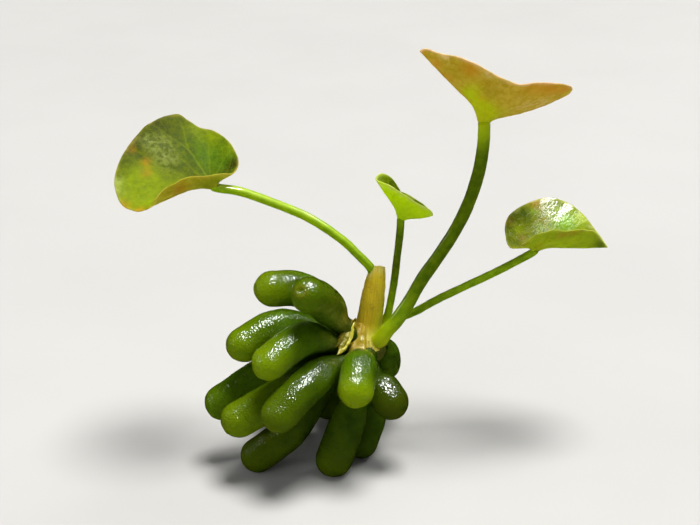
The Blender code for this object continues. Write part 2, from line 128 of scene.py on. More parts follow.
# ------------------------------------------------------------------ numbers
_rng = np.random.default_rng(11)
_perm = _rng.permutation(256)
_perm = np.r_[_perm, _perm, _perm]
_grad = _rng.normal(size=(256, 3))
_grad /= np.linalg.norm(_grad, axis=1)[:, None]


def noise(p, size, seed=0.0):
    """Smooth 3-D noise from about -1 to 1 at points p, with lumps of that size."""
    q = np.asarray(p, float) / size + 31.7 + seed * 7.13
    cell = np.floor(q).astype(int)
    f = q - cell
    u = f * f * f * (f * (f * 6 - 15) + 10)
    total = np.zeros(len(q))
    for dx in (0, 1):
        for dy in (0, 1):
            for dz in (0, 1):
                h = _perm[(_perm[(_perm[(cell[:, 0] + dx) & 255] + cell[:, 1] + dy) & 255] + cell[:, 2] + dz) & 255]
                w = (u[:, 0] if dx else 1 - u[:, 0]) * (u[:, 1] if dy else 1 - u[:, 1]) * (u[:, 2] if dz else 1 - u[:, 2])
                total += w * ((f - (dx, dy, dz)) * _grad[h]).sum(1)
    return 1.7 * total


def smooth(low, high, x):
    t = np.clip((np.asarray(x, float) - low) / (high - low), 0.0, 1.0)
    return t * t * (3 - 2 * t)


def spline(points, count, closed=False):
    """count points at even steps along a smooth curve through the given ones."""
    p = np.asarray(points, float)
    if closed:
        q = np.vstack([p[-1], p, p[0], p[1]])
    else:
        q = np.vstack([2 * p[0] - p[1], p, 2 * p[-1] - p[-2]])
    fine = []
    for i in range(len(q) - 3):
        a, b, c, d = q[i:i + 4]
        for t in np.linspace(0.0, 1.0, 24, endpoint=False):
            fine.append(0.5 * (2 * b + (c - a) * t + (2 * a - 5 * b + 4 * c - d) * t * t
                               + (3 * b - a - 3 * c + d) * t ** 3))
    fine.append(q[1] if closed else q[-2])
    fine = np.array(fine)
    run = np.r_[0.0, np.cumsum(np.linalg.norm(np.diff(fine[:, :3], axis=0), axis=1))]
    at = np.linspace(0.0, run[-1], count + 1 if closed else count)
    out = np.stack([np.interp(at, run, fine[:, k]) for k in range(fine.shape[1])], axis=1)
    return out[:-1] if closed else out


def relax(line, times):
    """Evens out the small kinks of a line and keeps its ends."""
    line = line.copy()
    for _ in range(times):
        line[1:-1] = 0.25 * line[:-2] + 0.5 * line[1:-1] + 0.25 * line[2:]
    return line


def frames(line):
    """A tangent and two steady side directions at each point of a line."""
    tangent = np.gradient(line, axis=0)
    tangent /= np.linalg.norm(tangent, axis=1)[:, None]
    side = np.cross(tangent[0], (0.0, 0.0, 1.0))
    if np.linalg.norm(side) < 0.2:
        side = np.cross(tangent[0], (0.0, 1.0, 0.0))
    sides = []
    for t in tangent:
        side = side - t * np.dot(side, t)
        side = side / np.linalg.norm(side)
        sides.append(side)
    sides = np.array(sides)
    return tangent, sides, np.cross(tangent, sides)


def arc(line):
    return np.r_[0.0, np.cumsum(np.linalg.norm(np.diff(line, axis=0), axis=1))]


def on_crown(azimuth, elevation, gap=NECK_GAP):
    a, e = math.radians(azimuth), math.radians(elevation)
    way = np.array((math.cos(a) * math.cos(e), math.sin(a) * math.cos(e), math.sin(e)))
    return CROWN_AT + way * (1.0 / np.linalg.norm(way / CROWN_RADII) + gap)


# ------------------------------------------------------------------ meshes
def piece(name, verts, quads, tris, marks, mats, stands_for, face_mat=None):
    """A smooth mesh from points in mm, with a number per point for each mark."""
    quads = np.asarray(quads, int).reshape(-1, 4)
    tris = np.asarray(tris, int).reshape(-1, 3)
    a = np.vstack([quads[:, [0, 1, 2]], quads[:, [0, 2, 3]], tris])
    p = verts - verts.mean(0)
    if np.einsum("ij,ij->i", p[a[:, 0]], np.cross(p[a[:, 1]], p[a[:, 2]])).sum() < 0:
        quads, tris = quads[:, ::-1], tris[:, ::-1]
    me = bpy.data.meshes.new(name)
    me.vertices.add(len(verts))
    me.vertices.foreach_set("co", ((verts + SHIFT) * MM).astype(np.float32).ravel())
    me.loops.add(quads.size + tris.size)
    me.loops.foreach_set("vertex_index", np.r_[quads.ravel(), tris.ravel()].astype(np.int32))
    me.polygons.add(len(quads) + len(tris))
    me.polygons.foreach_set("loop_start", np.r_[np.arange(len(quads)) * 4,
                                                quads.size + np.arange(len(tris)) * 3].astype(np.int32))
    me.update(calc_edges=True)
    me.validate()
    me.shade_smooth()
    for mark, values in marks.items():
        layer = me.attributes.new(mark, "FLOAT", "POINT")
        layer.data.foreach_set("value", np.asarray(values, np.float32))
    for m in mats:
        me.materials.append(m)
    if face_mat is not None:
        me.polygons.foreach_set("material_index", np.asarray(face_mat, np.int32))
    ob = bpy.data.objects.new(name, me)
    bpy.context.scene.collection.objects.link(ob)
    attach(ob, "root")
    if stands_for:
        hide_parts(stands_for)
    return ob


def tube_faces(rings, sides, start=0):
    i = np.arange(rings - 1)[:, None]
    k = np.arange(sides)[None, :]
    j = (k + 1) % sides
    return np.stack([start + i * sides + k, start + i * sides + j,
                     start + (i + 1) * sides + j, start + (i + 1) * sides + k], -1).reshape(-1, 4)


def fan(centre, ring):
    ring = np.asarray(ring)
    return np.stack([np.full(len(ring), centre), ring, np.roll(ring, -1)], -1)


# ------------------------------------------------------------------ finishes
class Graph:
    """Short names for building a material out of nodes."""

    def __init__(self, name):
        self.mat = bpy.data.materials.new(name)
        self.mat.use_nodes = True
        self.t = self.mat.node_tree
        self.shader = self.t.nodes["Principled BSDF"]
        self.place = self.t.nodes.new("ShaderNodeTexCoord").outputs["Object"]

    def put(self, socket, value):
        if isinstance(value, bpy.types.NodeSocket):
            self.t.links.new(value, socket)
        elif isinstance(value, (tuple, list)) and len(value) == 3 and socket.type == "RGBA":
            socket.default_value = (*value, 1.0)
        else:
            socket.default_value = value

    def node(self, kind, **props):
        n = self.t.nodes.new(kind)
        for k, v in props.items():
            setattr(n, k, v)
        return n

    def mark(self, name):
        n = self.node("ShaderNodeAttribute", attribute_type="GEOMETRY", attribute_name=name)
        return n.outputs["Fac"]

    def noise(self, per_mm, detail=3.0, rough=0.55, distort=0.0, place=None):
        n = self.node("ShaderNodeTexNoise")
        self.put(n.inputs["Vector"], place or self.place)
        n.inputs["Scale"].default_value = 1000.0 * per_mm
        n.inputs["Detail"].default_value = detail
        n.inputs["Roughness"].default_value = rough
        n.inputs["Distortion"].default_value = distort
        return n.outputs["Fac"]

    def cells(self, per_mm, feature="F1", rand=1.0, place=None):
        n = self.node("ShaderNodeTexVoronoi", feature=feature)
        self.put(n.inputs["Vector"], place or self.place)
        n.inputs["Scale"].default_value = 1000.0 * per_mm
        n.inputs["Randomness"].default_value = rand
        return n.outputs["Distance"]

    def fit(self, value, a, b, c=0.0, d=1.0, kind="SMOOTHSTEP"):
        n = self.node("ShaderNodeMapRange", interpolation_type=kind, clamp=True) if kind != "SMOOTHSTEP" else \
            self.node("ShaderNodeMapRange", interpolation_type="SMOOTHSTEP")
        self.put(n.inputs["Value"], value)
        for key, v in zip(("From Min", "From Max", "To Min", "To Max"), (a, b, c, d)):
            n.inputs[key].default_value = v
        return n.outputs["Result"]

    def math(self, op, a, b=0.0, clamp=False):
        n = self.node("ShaderNodeMath", operation=op, use_clamp=clamp)
        self.put(n.inputs[0], a)
        if len(n.inputs) > 1:
            self.put(n.inputs[1], b)
        return n.outputs[0]

    def mix(self, fac, a, b, how="MIX"):
        n = self.node("ShaderNodeMix", data_type="RGBA", blend_type=how)
        self.put(n.inputs["Factor"], fac)
        ins = [s for s in n.inputs if s.type == "RGBA"]
        self.put(ins[0], a)
        self.put(ins[1], b)
        return [s for s in n.outputs if s.type == "RGBA"][0]

    def bump(self, height, strength, reach_mm, normal=None):
        n = self.node("ShaderNodeBump")
        self.put(n.inputs["Height"], height)
        n.inputs["Strength"].default_value = strength
        n.inputs["Distance"].default_value = reach_mm * MM
        if normal is not None:
            self.put(n.inputs["Normal"], normal)
        return n.outputs["Normal"]

    def set(self, **values):
        for key, value in values.items():
            self.put(self.shader.inputs[key.replace("_", " ")], value)

    def stretched(self, x, y, z):
        n = self.node("ShaderNodeMapping")
        self.put(n.inputs["Vector"], self.place)
        n.inputs["Scale"].default_value = (x, y, z)
        return n.outputs["Vector"]


def tuber_skin():
    g = Graph("tuber_skin")
    along, ripe, olive, dark, scar = (g.mark(k) for k in ("along", "ripe", "olive", "dark", "scar"))
    broad = g.noise(0.30, 3)
    fine = g.noise(1.7, 4, 0.6)
    grain = g.cells(2.6)
    base = g.mix(g.fit(broad, 0.30, 0.70), (0.032, 0.076, 0.0004), (0.068, 0.145, 0.0006))
    # painted shade: much darker towards the neck, where the tubers crowd into the crown
    base = g.mix(g.fit(along, 0.0, 0.35, 0.80, 0.0), base, (0.007, 0.026, 0.0003))
    tip = g.math("MULTIPLY", g.fit(along, 0.55, 1.0), ripe, clamp=True)
    tip = g.math("MULTIPLY", tip, g.fit(fine, 0.15, 0.75, 0.70, 1.0), clamp=True)
    base = g.mix(tip, base, (0.205, 0.305, 0.0010))
    ol = g.math("MULTIPLY", olive, g.fit(broad, 0.25, 0.65, 0.45, 1.0), clamp=True)
    ol = g.math("MULTIPLY", ol, g.fit(along, 0.15, 0.85, 0.35, 1.0), clamp=True)
    base = g.mix(ol, base, (0.082, 0.092, 0.0006))
    # pale pin-point pores, and darker flecks between them
    pores = g.fit(grain, 0.05, 0.20, 0.40, 0.0)
    pores = g.math("MULTIPLY", pores, g.fit(along, 0.35, 0.95, 0.15, 1.0), clamp=True)
    base = g.mix(pores, base, (0.170, 0.240, 0.008))
    base = g.mix(g.fit(fine, 0.52, 0.80, 0.0, 0.45), base, (0.012, 0.034, 0.0006))
    base = g.mix(scar, base, (0.200, 0.195, 0.004))
    # painted shade: the darkness tint darkens whole tubers that lie in shade among the others, over their own deeper
    # green
    base = g.mix(g.math("MULTIPLY", dark, 0.85, clamp=True), base, (0.006, 0.020, 0.0005))
    rough = g.fit(g.noise(0.9, 3), 0.3, 0.7, 0.30, 0.46)
    pimples = g.math("ADD", g.math("MULTIPLY", g.cells(3.7, "SMOOTH_F1"), -1.1), g.math("MULTIPLY", g.noise(3.4, 1, 0.5), 0.8))
    skin = g.bump(pimples, 1.0, 0.085)
    g.set(Base_Color=base, Roughness=rough, Normal=skin, Coat_Normal=skin, Specular_IOR_Level=0.05,
          Coat_Weight=1.0, Coat_Roughness=0.06, Coat_IOR=1.5,
          Subsurface_Weight=0.15, Subsurface_Radius=(0.35, 0.8, 0.12), Subsurface_Scale=0.0010)
    return g.mat


def crown_skin():
    g = Graph("crown_skin")
    scale, glow, olive = g.mark("scale"), g.mark("glow"), g.mark("olive")
    n1, n2 = g.noise(0.55, 4), g.noise(2.4, 4, 0.65)
    base = g.mix(g.fit(n1, 0.3, 0.7), (0.200, 0.180, 0.003), (0.330, 0.270, 0.006))
    base = g.mix(g.fit(n2, 0.50, 0.75, 0.0, 0.6), base, (0.220, 0.110, 0.004))
    base = g.mix(olive, base, (0.105, 0.115, 0.002))
    base = g.mix(glow, base, g.mix(g.fit(n2, 0.3, 0.65), (0.560, 0.480, 0.008), (0.680, 0.640, 0.080)))
    brown = g.mix(g.fit(n2, 0.3, 0.7), (0.560, 0.400, 0.010), (0.440, 0.260, 0.004))
    base = g.mix(g.math("MULTIPLY", scale, g.fit(n1, 0.2, 0.5, 0.6, 1.0), clamp=True), base, brown)
    skin = g.bump(g.math("ADD", n2, g.math("MULTIPLY", g.noise(6.0, 3), 0.4)), 0.8, 0.16)
    g.set(Base_Color=base, Roughness=g.fit(n1, 0.3, 0.7, 0.25, 0.45), Normal=skin, Coat_Normal=skin, Coat_Weight=g.fit(glow, 0.3, 1.0, 0.25, 1.0),
          Coat_Roughness=0.10, Subsurface_Weight=0.25, Subsurface_Radius=(0.8, 0.7, 0.2), Subsurface_Scale=0.0008)
    return g.mat


def sheath_paper():
    g = Graph("sheath_paper")
    up, round_, edge = g.mark("up"), g.mark("round"), g.mark("edge")
    streak = g.mark("fibre")
    fibres = g.noise(2.4, 3, 0.6, place=g.stretched(1.0, 1.0, 0.10))
    broad = g.noise(0.7, 3, 0.5, place=g.stretched(1.0, 1.0, 0.25))
    marks = g.noise(1.5, 3, 0.55, place=g.stretched(0.55, 0.55, 2.6))
    base = g.mix(g.fit(broad, 0.35, 0.65), (0.640, 0.370, 0.002), (0.740, 0.520, 0.008))
    base = g.mix(g.fit(fibres, 0.35, 0.65, 0.0, 0.6), base, (0.700, 0.540, 0.020))
    base = g.mix(g.fit(streak, 0.45, 0.95, 0.0, 0.20), base, (0.800, 0.640, 0.060))
    # pale at the foot, greener round the right side, pale again at the tip
    base = g.mix(g.fit(up, 0.34, 0.06, 0.0, 0.85), base, (0.720, 0.600, 0.150))
    green = g.math("MULTIPLY", round_, g.fit(up, 0.80, 0.30, 0.25, 0.85), clamp=True)
    base = g.mix(green, base, (0.420, 0.480, 0.003))
    base = g.mix(g.fit(up, 0.86, 1.0, 0.0, 0.75), base, (0.700, 0.600, 0.160))
    # short brown marks across the fibres
    cross = g.math("MULTIPLY", g.fit(marks, 0.57, 0.72), g.fit(up, 0.35, 0.60), clamp=True)
    base = g.mix(g.math("MULTIPLY", cross, 0.6), base, (0.160, 0.060, 0.006))
    base = g.mix(g.math("MULTIPLY", edge, 0.35), base, (0.360, 0.200, 0.060))
    relief = g.math("ADD", fibres, g.math("MULTIPLY", g.noise(5.0, 3), 0.35))
    g.set(Base_Color=base, Roughness=g.fit(fibres, 0.3, 0.7, 0.45, 0.68), Normal=g.bump(relief, 0.7, 0.12),
          Specular_IOR_Level=0.25,
          Subsurface_Weight=0.25, Subsurface_Radius=(0.9, 0.6, 0.15), Subsurface_Scale=0.0008)
    return g.mat


def stalk_skin():
    g = Graph("petiole_skin")
    lime, foot, painted_highlight = g.mark("lime"), g.mark("foot"), g.mark("painted_highlight")
    lines = g.noise(0.8, 4, 0.6)
    fine = g.noise(5.5, 3, 0.6)
    deep = g.mix(g.fit(lines, 0.3, 0.7), (0.046, 0.088, 0.0005), (0.085, 0.135, 0.0008))
    bright = g.mix(g.fit(lines, 0.3, 0.7), (0.200, 0.360, 0.0010), (0.310, 0.490, 0.0030))
    base = g.mix(lime, deep, bright)
    base = g.mix(foot, base, (0.420, 0.510, 0.003))
    # painted highlight: a pale streak along the side of each stalk that faces up and to the front, strongest where the
    # stalk is lime, standing in for the lamp's reflection
    base = g.mix(g.math("MULTIPLY", g.math("MULTIPLY", painted_highlight, lime), 0.55), base, (0.560, 0.700, 0.110))
    base = g.mix(g.fit(fine, 0.60, 0.85, 0.0, 0.3), base, (0.070, 0.110, 0.002))
    g.set(Base_Color=base, Roughness=g.fit(lines, 0.3, 0.7, 0.28, 0.40),
          Normal=g.bump(g.math("ADD", fine, lines), 0.35, 0.05), Specular_IOR_Level=0.05, Coat_Weight=1.0, Coat_Roughness=0.08, Coat_IOR=1.5,
          Subsurface_Weight=0.3, Subsurface_Radius=(0.6, 1.0, 0.15), Subsurface_Scale=0.0008)
    return g.mat


def blade_skin(name, up, low, green, shade, bright, stain, pale, rim, vein, gloss=0.28, coat=0.8, bumps=0.06, film=1.36, wet=0.14):
    """One leaf's finish. up and low are (dark, light) colours of its two faces."""
    g = Graph(name)
    under, veins, margin = g.mark("under"), g.mark("vein"), g.mark("margin")
    m = {key: g.mark(key) for key in ("green", "bright", "shade", "stain", "pale_tissue_and_glints", "glaze")}
    broad = g.noise(0.42, 3)
    mottle = g.noise(1.2, 4, 0.62, 0.3)
    blotch = g.noise(0.75, 3, 0.55)
    net = g.cells(1.2, "DISTANCE_TO_EDGE")
    fine = g.noise(4.5, 3)
    top = g.mix(g.fit(mottle, 0.32, 0.68), up[0], up[1])
    top = g.mix(g.math("MULTIPLY", m["green"], g.fit(blotch, 0.2, 0.55, 0.7, 1.0), clamp=True), top,
                g.mix(g.fit(mottle, 0.3, 0.7), green[0], green[1]))
    bottom = g.mix(g.fit(mottle, 0.32, 0.68), low[0], low[1])
    base = g.mix(under, top, bottom)
    base = g.mix(g.math("MULTIPLY", m["bright"], g.fit(blotch, 0.2, 0.5, 0.75, 1.0), clamp=True), base,
                 g.mix(g.fit(mottle, 0.3, 0.7), bright[0], bright[1]))
    # painted shade, mostly: the shade spots darken the hollows of the cups and the parts of a leaf that its other half
    # shades; a few are the leaf's own dark spots
    base = g.mix(g.math("MULTIPLY", m["shade"], g.fit(blotch, 0.25, 0.55, 0.7, 1.0), clamp=True), base, shade)
    base = g.mix(g.fit(net, 0.0, 0.09, 0.14, 0.0), base, vein)
    base = g.mix(g.math("MULTIPLY", veins, 0.30), base, vein)
    base = g.mix(g.math("MULTIPLY", m["stain"], g.fit(mottle, 0.25, 0.6, 0.45, 1.0), clamp=True), base, stain)
    edge = g.math("MULTIPLY", margin, g.fit(broad, 0.38, 0.58, 0.25, 1.0), clamp=True)
    base = g.mix(edge, base, rim)
    # pale spots: partly pale tissue at the edges, partly painted highlights, pale flecks and rim lines where the wet
    # surface would catch the lamp
    base = g.mix(g.math("MULTIPLY", m["pale_tissue_and_glints"], g.fit(mottle, 0.38, 0.62, 0.2, 1.0), clamp=True), base, pale)
    relief = g.math("ADD", mottle, g.math("MULTIPLY", g.fit(net, 0.0, 0.16), 0.18))
    relief = g.math("ADD", relief, g.math("MULTIPLY", fine, 0.30))
    skin = g.bump(relief, 0.7, bumps)
    g.set(Base_Color=base, Roughness=g.fit(mottle, 0.3, 0.7, gloss, gloss + 0.16), Normal=skin, Coat_Normal=skin,
          Specular_IOR_Level=0.05, Coat_Weight=g.fit(m["glaze"], 0.0, 1.0, 0.15 * coat, coat), Coat_Roughness=wet, Coat_IOR=film,
          Subsurface_Weight=0.40, Subsurface_Radius=(0.8, 1.0, 0.12), Subsurface_Scale=0.0006)
    return g.mat


# ------------------------------------------------------------------ tubers
SIDES = 84


def tuber(name, seed, mat):
    radius, way, shoulder, upper, lower, tip = TUBERS[name]
    ripe, olive, dark, scar = TINTS[name]
    neck = on_crown(*way)
    root = CROWN_AT + 0.45 * (neck - CROWN_AT)
    line = relax(spline([root, neck, shoulder, upper, lower, tip], 122), 5)
    run = arc(line)
    inside = np.linalg.norm(neck - root)                 # length hidden in the crown
    share = np.clip((run - inside) / (run[-1] - inside), 0.0, 1.0)
    tangent, u, v = frames(line)
    # slow sideways wander of the centre line
    wander = np.stack([noise(line, 7.0, seed + k) for k in (0.1, 0.2)], 1) * (0.16 * smooth(0.1, 0.4, share) * smooth(1.0, 0.7, share))[:, None]
    line = line + u * wander[:, :1] + v * wander[:, 1:]
    swell = smooth(0.0, 0.62, share)
    girth = 1.22 + (radius - 1.22) * swell
    girth = girth * (1 + 0.022 * noise(line, 4.5, seed + 0.5) * smooth(0.2, 0.5, share))
    girth += 0.30 * np.exp(-((run - inside + 0.3) / 0.8) ** 2)
    # rounded blunt end
    turn = np.linspace(0.0, math.pi / 2, 28)[1:-1]
    tip_at = line[-1] + np.outer(radius * np.sin(turn), tangent[-1])
    tip_r = girth[-1] * np.cos(turn) ** 0.93
    centre = np.vstack([line, tip_at])
    rad = np.r_[girth, tip_r]
    uu = np.vstack([u, np.repeat(u[-1:], len(turn), 0)])
    vv = np.vstack([v, np.repeat(v[-1:], len(turn), 0)])
    tt = np.vstack([tangent, np.repeat(tangent[-1:], len(turn), 0)])
    total = run[-1] - inside + radius
    along = np.clip(np.r_[run - inside, run[-1] - inside + radius * np.sin(turn)] / total, 0, 1)
    lean = np.r_[np.zeros(len(line)), np.sin(turn)]      # how far the skin faces along the end
    w = np.linspace(0.0, 2 * math.pi, SIDES, endpoint=False)
    phase = seed * 1.7
    out = np.cos(w)[None, :, None] * uu[:, None, :] + np.sin(w)[None, :, None] * vv[:, None, :]
    oval = 1 + 0.022 * np.cos(2 * w + phase)[None, :] + 0.012 * np.cos(3 * w + 2.3 * phase)[None, :]
    body = centre[:, None, :] + out * (rad[:, None] * oval)[:, :, None]
    face = out * np.sqrt(1 - lean ** 2)[:, None, None] + tt[:, None, :] * lean[:, None, None]
    p, n = body.reshape(-1, 3), face.reshape(-1, 3)
    al = np.repeat(along, SIDES)
    fade = smooth(0.03, 0.2, al)
    # shallow lengthwise furrows, soft dents and fine pimples
    ww = np.tile(w, len(centre))
    furrow = np.cos(7 * ww + 3.0 * noise(p, 6.0, seed + 2)) * 0.020 + np.cos(11 * ww + phase) * 0.010
    furrow *= smooth(0.95, 0.5, al)
    dents = 0.075 * noise(p, 3.1, seed + 3) + 0.035 * noise(p, 1.4, seed + 4)
    pimple = 0.020 * np.clip(noise(p, 0.36, seed + 5), -0.3, 1.0)
    p = p + n * ((furrow + dents) * fade + pimple * smooth(0.0, 0.1, al))[:, None]
    # the old growing point: a small dimple with a raised lip
    end = centre[-1] + tangent[-1] * (radius * (1 - math.sin(turn[-1])) + 0.02)
    off = np.linalg.norm(p - end, axis=1)
    depth = 0.16 + 0.22 * scar
    p = p - np.outer(depth * np.exp(-(off / 0.42) ** 2) - 0.07 * np.exp(-((off - 0.85) / 0.35) ** 2), tangent[-1])
    last = p[-SIDES:].mean(0)
    p = np.vstack([p, last[None], centre[:1]])
    al = np.r_[al, 1.0, 0.0]
    off = np.r_[off, 0.0, 99.0]
    # the tips that it stands on are pressed flat
    low = p[:, 2]
    p[:, 2] = np.where(low < 0.25, 0.25 * np.exp(np.clip((low - 0.25) / 0.25, -30, 0)), low)
    rings = len(centre)
    quads = tube_faces(rings, SIDES)
    tris = np.vstack([fan(rings * SIDES, (rings - 1) * SIDES + np.arange(SIDES)),
                      fan(rings * SIDES + 1, np.arange(SIDES))[:, ::-1]])
    ring = np.exp(-((off - 0.75 - 0.25 * noise(p, 0.9, seed + 6)) / 0.40) ** 2) * (0.12 + 0.75 * scar)
    marks = {"along": al, "ripe": np.full(len(p), ripe), "olive": np.full(len(p), olive),
             "dark": np.full(len(p), dark), "scar": np.clip(ring, 0, 1)}
    return piece(name + "_skin", p, quads, tris, marks, [mat], name)


# ------------------------------------------------------------------ crown
def husk(begin, end, low, high, off, seed, lean=0.0, thick=0.05):
    """The stump of an old leaf base: a ragged papery shell part way round the sheath's foot, as points and faces."""
    rows, cols = 30, 90
    t = np.linspace(0, 1, rows)[:, None]
    c = np.linspace(-1, 1, cols)[None, :]
    a = np.radians(0.5 * (begin + end) + 0.5 * (end - begin) * c)
    along = np.stack([a[0] * 2.4, 0 * a[0], 0 * a[0]], 1)
    ragged = 0.30 * noise(along, 1.1, seed) + 0.16 * noise(along, 0.35, seed + 1)
    height = (high - low) * np.clip(1 - np.abs(c[0]) ** 3.0, 0.05, 1) ** 0.5 * (1 + 0.5 * ragged) + 0.2
    z = low + t * height[None, :]
    radius = np.interp(z, (19.0, 19.8, 20.6, 21.6, 23.0, 25.0), (3.7, 3.25, 2.75, 2.30, 2.02, 1.96)) + off + lean * t ** 2
    radius = radius + 0.05 * np.cos(17 * a + seed) + 0.03 * np.cos(29 * a)
    x = 1.47 + 0.09 * (z - 20.5) + radius * np.cos(a)
    y = 0.40 + 0.12 * (z - 20.5) + radius * np.sin(a)
    flat = np.stack([x, y, z], -1).reshape(-1, 3)
    out = np.stack([np.cos(a) + 0 * t, np.sin(a) + 0 * t, 0 * t + 0 * a], -1).reshape(-1, 3)
    flat = flat + out * (0.16 * noise(flat, 1.1, seed + 2) + 0.05 * noise(flat, 0.4, seed + 3))[:, None]
    n = len(flat)
    both = np.vstack([flat + out * thick, flat - out * thick])
    i = np.arange(rows - 1)[:, None]
    k = np.arange(cols - 1)[None, :]
    q = np.stack([i * cols + k, i * cols + k + 1, (i + 1) * cols + k + 1, (i + 1) * cols + k], -1).reshape(-1, 4)
    loop = np.r_[np.arange(cols), np.arange(1, rows) * cols + cols - 1,
                 (rows - 1) * cols + np.arange(cols - 2, -1, -1), np.arange(rows - 2, 0, -1) * cols]
    nxt = np.roll(loop, -1)
    quads = np.vstack([q, q[:, ::-1] + n, np.stack([loop, loop + n, nxt + n, nxt], -1)])
    edge = np.exp(-((1 - t) / 0.16) ** 2) + 0 * c
    return both, quads, np.tile(edge.reshape(-1), 2)


def ridge(points, seed, lumps=0.22, sides=40, count=90):
    """A lumpy fleshy ridge along points (x, y, z, radius), closed at both ends."""
    line = spline(points, count)
    centre, rad = relax(line[:, :3], 2), line[:, 3]
    _, u, v = frames(centre)
    w = np.linspace(0, 2 * math.pi, sides, endpoint=False)
    out = (np.cos(w)[None, :, None] * u[:, None, :] + np.sin(w)[None, :, None] * v[:, None, :])
    end = np.sqrt(np.clip(1 - (np.linspace(-1, 1, count)) ** 8, 0, 1))
    p = (centre[:, None, :] + out * (rad * end)[:, None, None]).reshape(-1, 3)
    o = out.reshape(-1, 3)
    room = np.repeat(rad * end, sides)
    p = p + o * (room * (lumps * 1.3 * noise(p, 0.9, seed) + lumps * 0.8 * noise(p, 0.42, seed + 1)))[:, None]
    p = np.vstack([p, centre[0], centre[-1]])
    tris = np.vstack([fan(count * sides, np.arange(sides))[:, ::-1], fan(count * sides + 1, (count - 1) * sides + np.arange(sides))])
    return p, tube_faces(count, sides), tris


def crown(mat):
    import bmesh
    bm = bmesh.new()
    bmesh.ops.create_icosphere(bm, subdivisions=5, radius=1.0)
    unit = np.array([v.co[:] for v in bm.verts])
    faces = np.array([[v.index for v in f.verts] for f in bm.faces])
    bm.free()
    p = CROWN_AT + unit * CROWN_RADII
    lump = 0.28 * noise(p, 1.9, 3) + 0.12 * noise(p, 0.8, 4) + 0.05 * noise(p, 0.35, 5)
    # drawn up into the feet of the stalks
    lump += 0.9 * np.exp(-((unit - np.array((-0.55, -0.72, 0.42))) ** 2).sum(1) / 0.16)
    top = smooth(0.35, 1.0, unit[:, 2])
    p = p + unit * lump[:, None] + np.outer(top * 1.1, (0.25, 0.05, 0.9))
    verts, quads, tris = [p], [], [faces]
    scale = [np.clip(0.6 * smooth(0.1, 0.7, noise(p, 1.2, 8)), 0, 1) * smooth(20.3, 21.2, p[:, 2])]
    glow, olive = [np.zeros(len(p))], [1 - 0.7 * smooth(20.3, 21.2, p[:, 2])]
    count = len(p)

    def add(v, q, t, brown, shine, dull):
        nonlocal count
        verts.append(v)
        if len(q):
            quads.append(q + count)
        if len(t):
            tris.append(t + count)
        count += len(v)
        scale.append(np.broadcast_to(brown, len(v)))
        glow.append(np.full(len(v), shine))
        olive.append(np.full(len(v), dull))

    # a swollen collar round the foot of the sheath and the stalks
    turn = np.linspace(0, 2 * math.pi, 13)[:-1]
    ring = [(1.45 + 2.30 * math.cos(a), 0.25 + 2.35 * math.sin(a), 19.45, 0.95 - 0.10 * math.cos(a)) for a in turn]
    ring.append(ring[0])
    v, q, t = ridge(ring, 4.0, lumps=0.12, sides=48, count=200)
    add(v, q, t, 0.0, 0.0, 1.0)
    # pale glossy strands of old leaf bases, running down between the tubers on the left
    for points, seed, lumps, brown, shine, dull in (
            ([(-0.55, -2.2, 24.3, 0.12), (-0.80, -2.7, 23.6, 0.20), (-1.00, -3.1, 22.7, 0.27), (-1.35, -3.6, 21.8, 0.34),
              (-2.0, -4.5, 21.0, 0.33), (-2.7, -5.5, 20.7, 0.28), (-3.3, -6.4, 20.5, 0.14)], 6.0, 0.50, 0.0, 1.0, 0.0),
            ([(-1.3, -2.6, 23.3, 0.18), (-1.7, -3.3, 22.5, 0.36), (-2.2, -4.1, 21.7, 0.46), (-3.0, -5.4, 21.0, 0.24)], 13.0, 0.38, 0.10, 0.35, 0.6),
            ([(-2.0, -2.7, 23.2, 0.20), (-2.4, -3.6, 22.6, 0.40), (-3.0, -4.6, 21.9, 0.44), (-3.7, -5.6, 21.4, 0.2)], 9.0, 0.35, 0.20, 0.15, 0.9)):
        v, q, t = ridge(points, seed, lumps=lumps, sides=36, count=80)
        add(v, q, t, brown, shine, dull)
    # ragged stumps round the foot of the sheath
    for begin, end, low, high, off, seed, lean, brown, shine, dull in (
            (188, 262, 19.5, 22.7, 0.06, 1.0, 0.02, 0.70, 0.25, 0.0), (206, 266, 19.6, 23.2, 1.28, 7.0, -1.00, 0.75, 0.35, 0.0),
            (214, 272, 19.5, 21.5, 0.30, 2.0, 0.06, 0.60, 0.35, 0.0), (250, 305, 19.5, 20.9, 0.16, 8.0, 0.03, 0.35, 0.50, 0.15),
            (120, 205, 19.5, 22.7, 0.30, 3.0, 0.30, 0.55, 0.10, 0.3), (40, 135, 19.5, 22.3, 0.40, 4.0, 0.25, 0.35, 0.20, 0.5),
            (-15, 50, 20.3, 21.4, 0.30, 6.0, 0.20, 0.30, 0.10, 0.4)):
        v, q, edge = husk(begin, end, low, high, off, seed, lean)
        add(v, q, [], np.clip(brown + 0.3 * edge, 0, 1), shine, dull)
    return piece("crown_knob", np.vstack(verts), np.vstack(quads), np.vstack(tris),
                 {"scale": np.concatenate(scale), "glow": np.concatenate(glow), "olive": np.concatenate(olive)},
                 [mat], "crown")


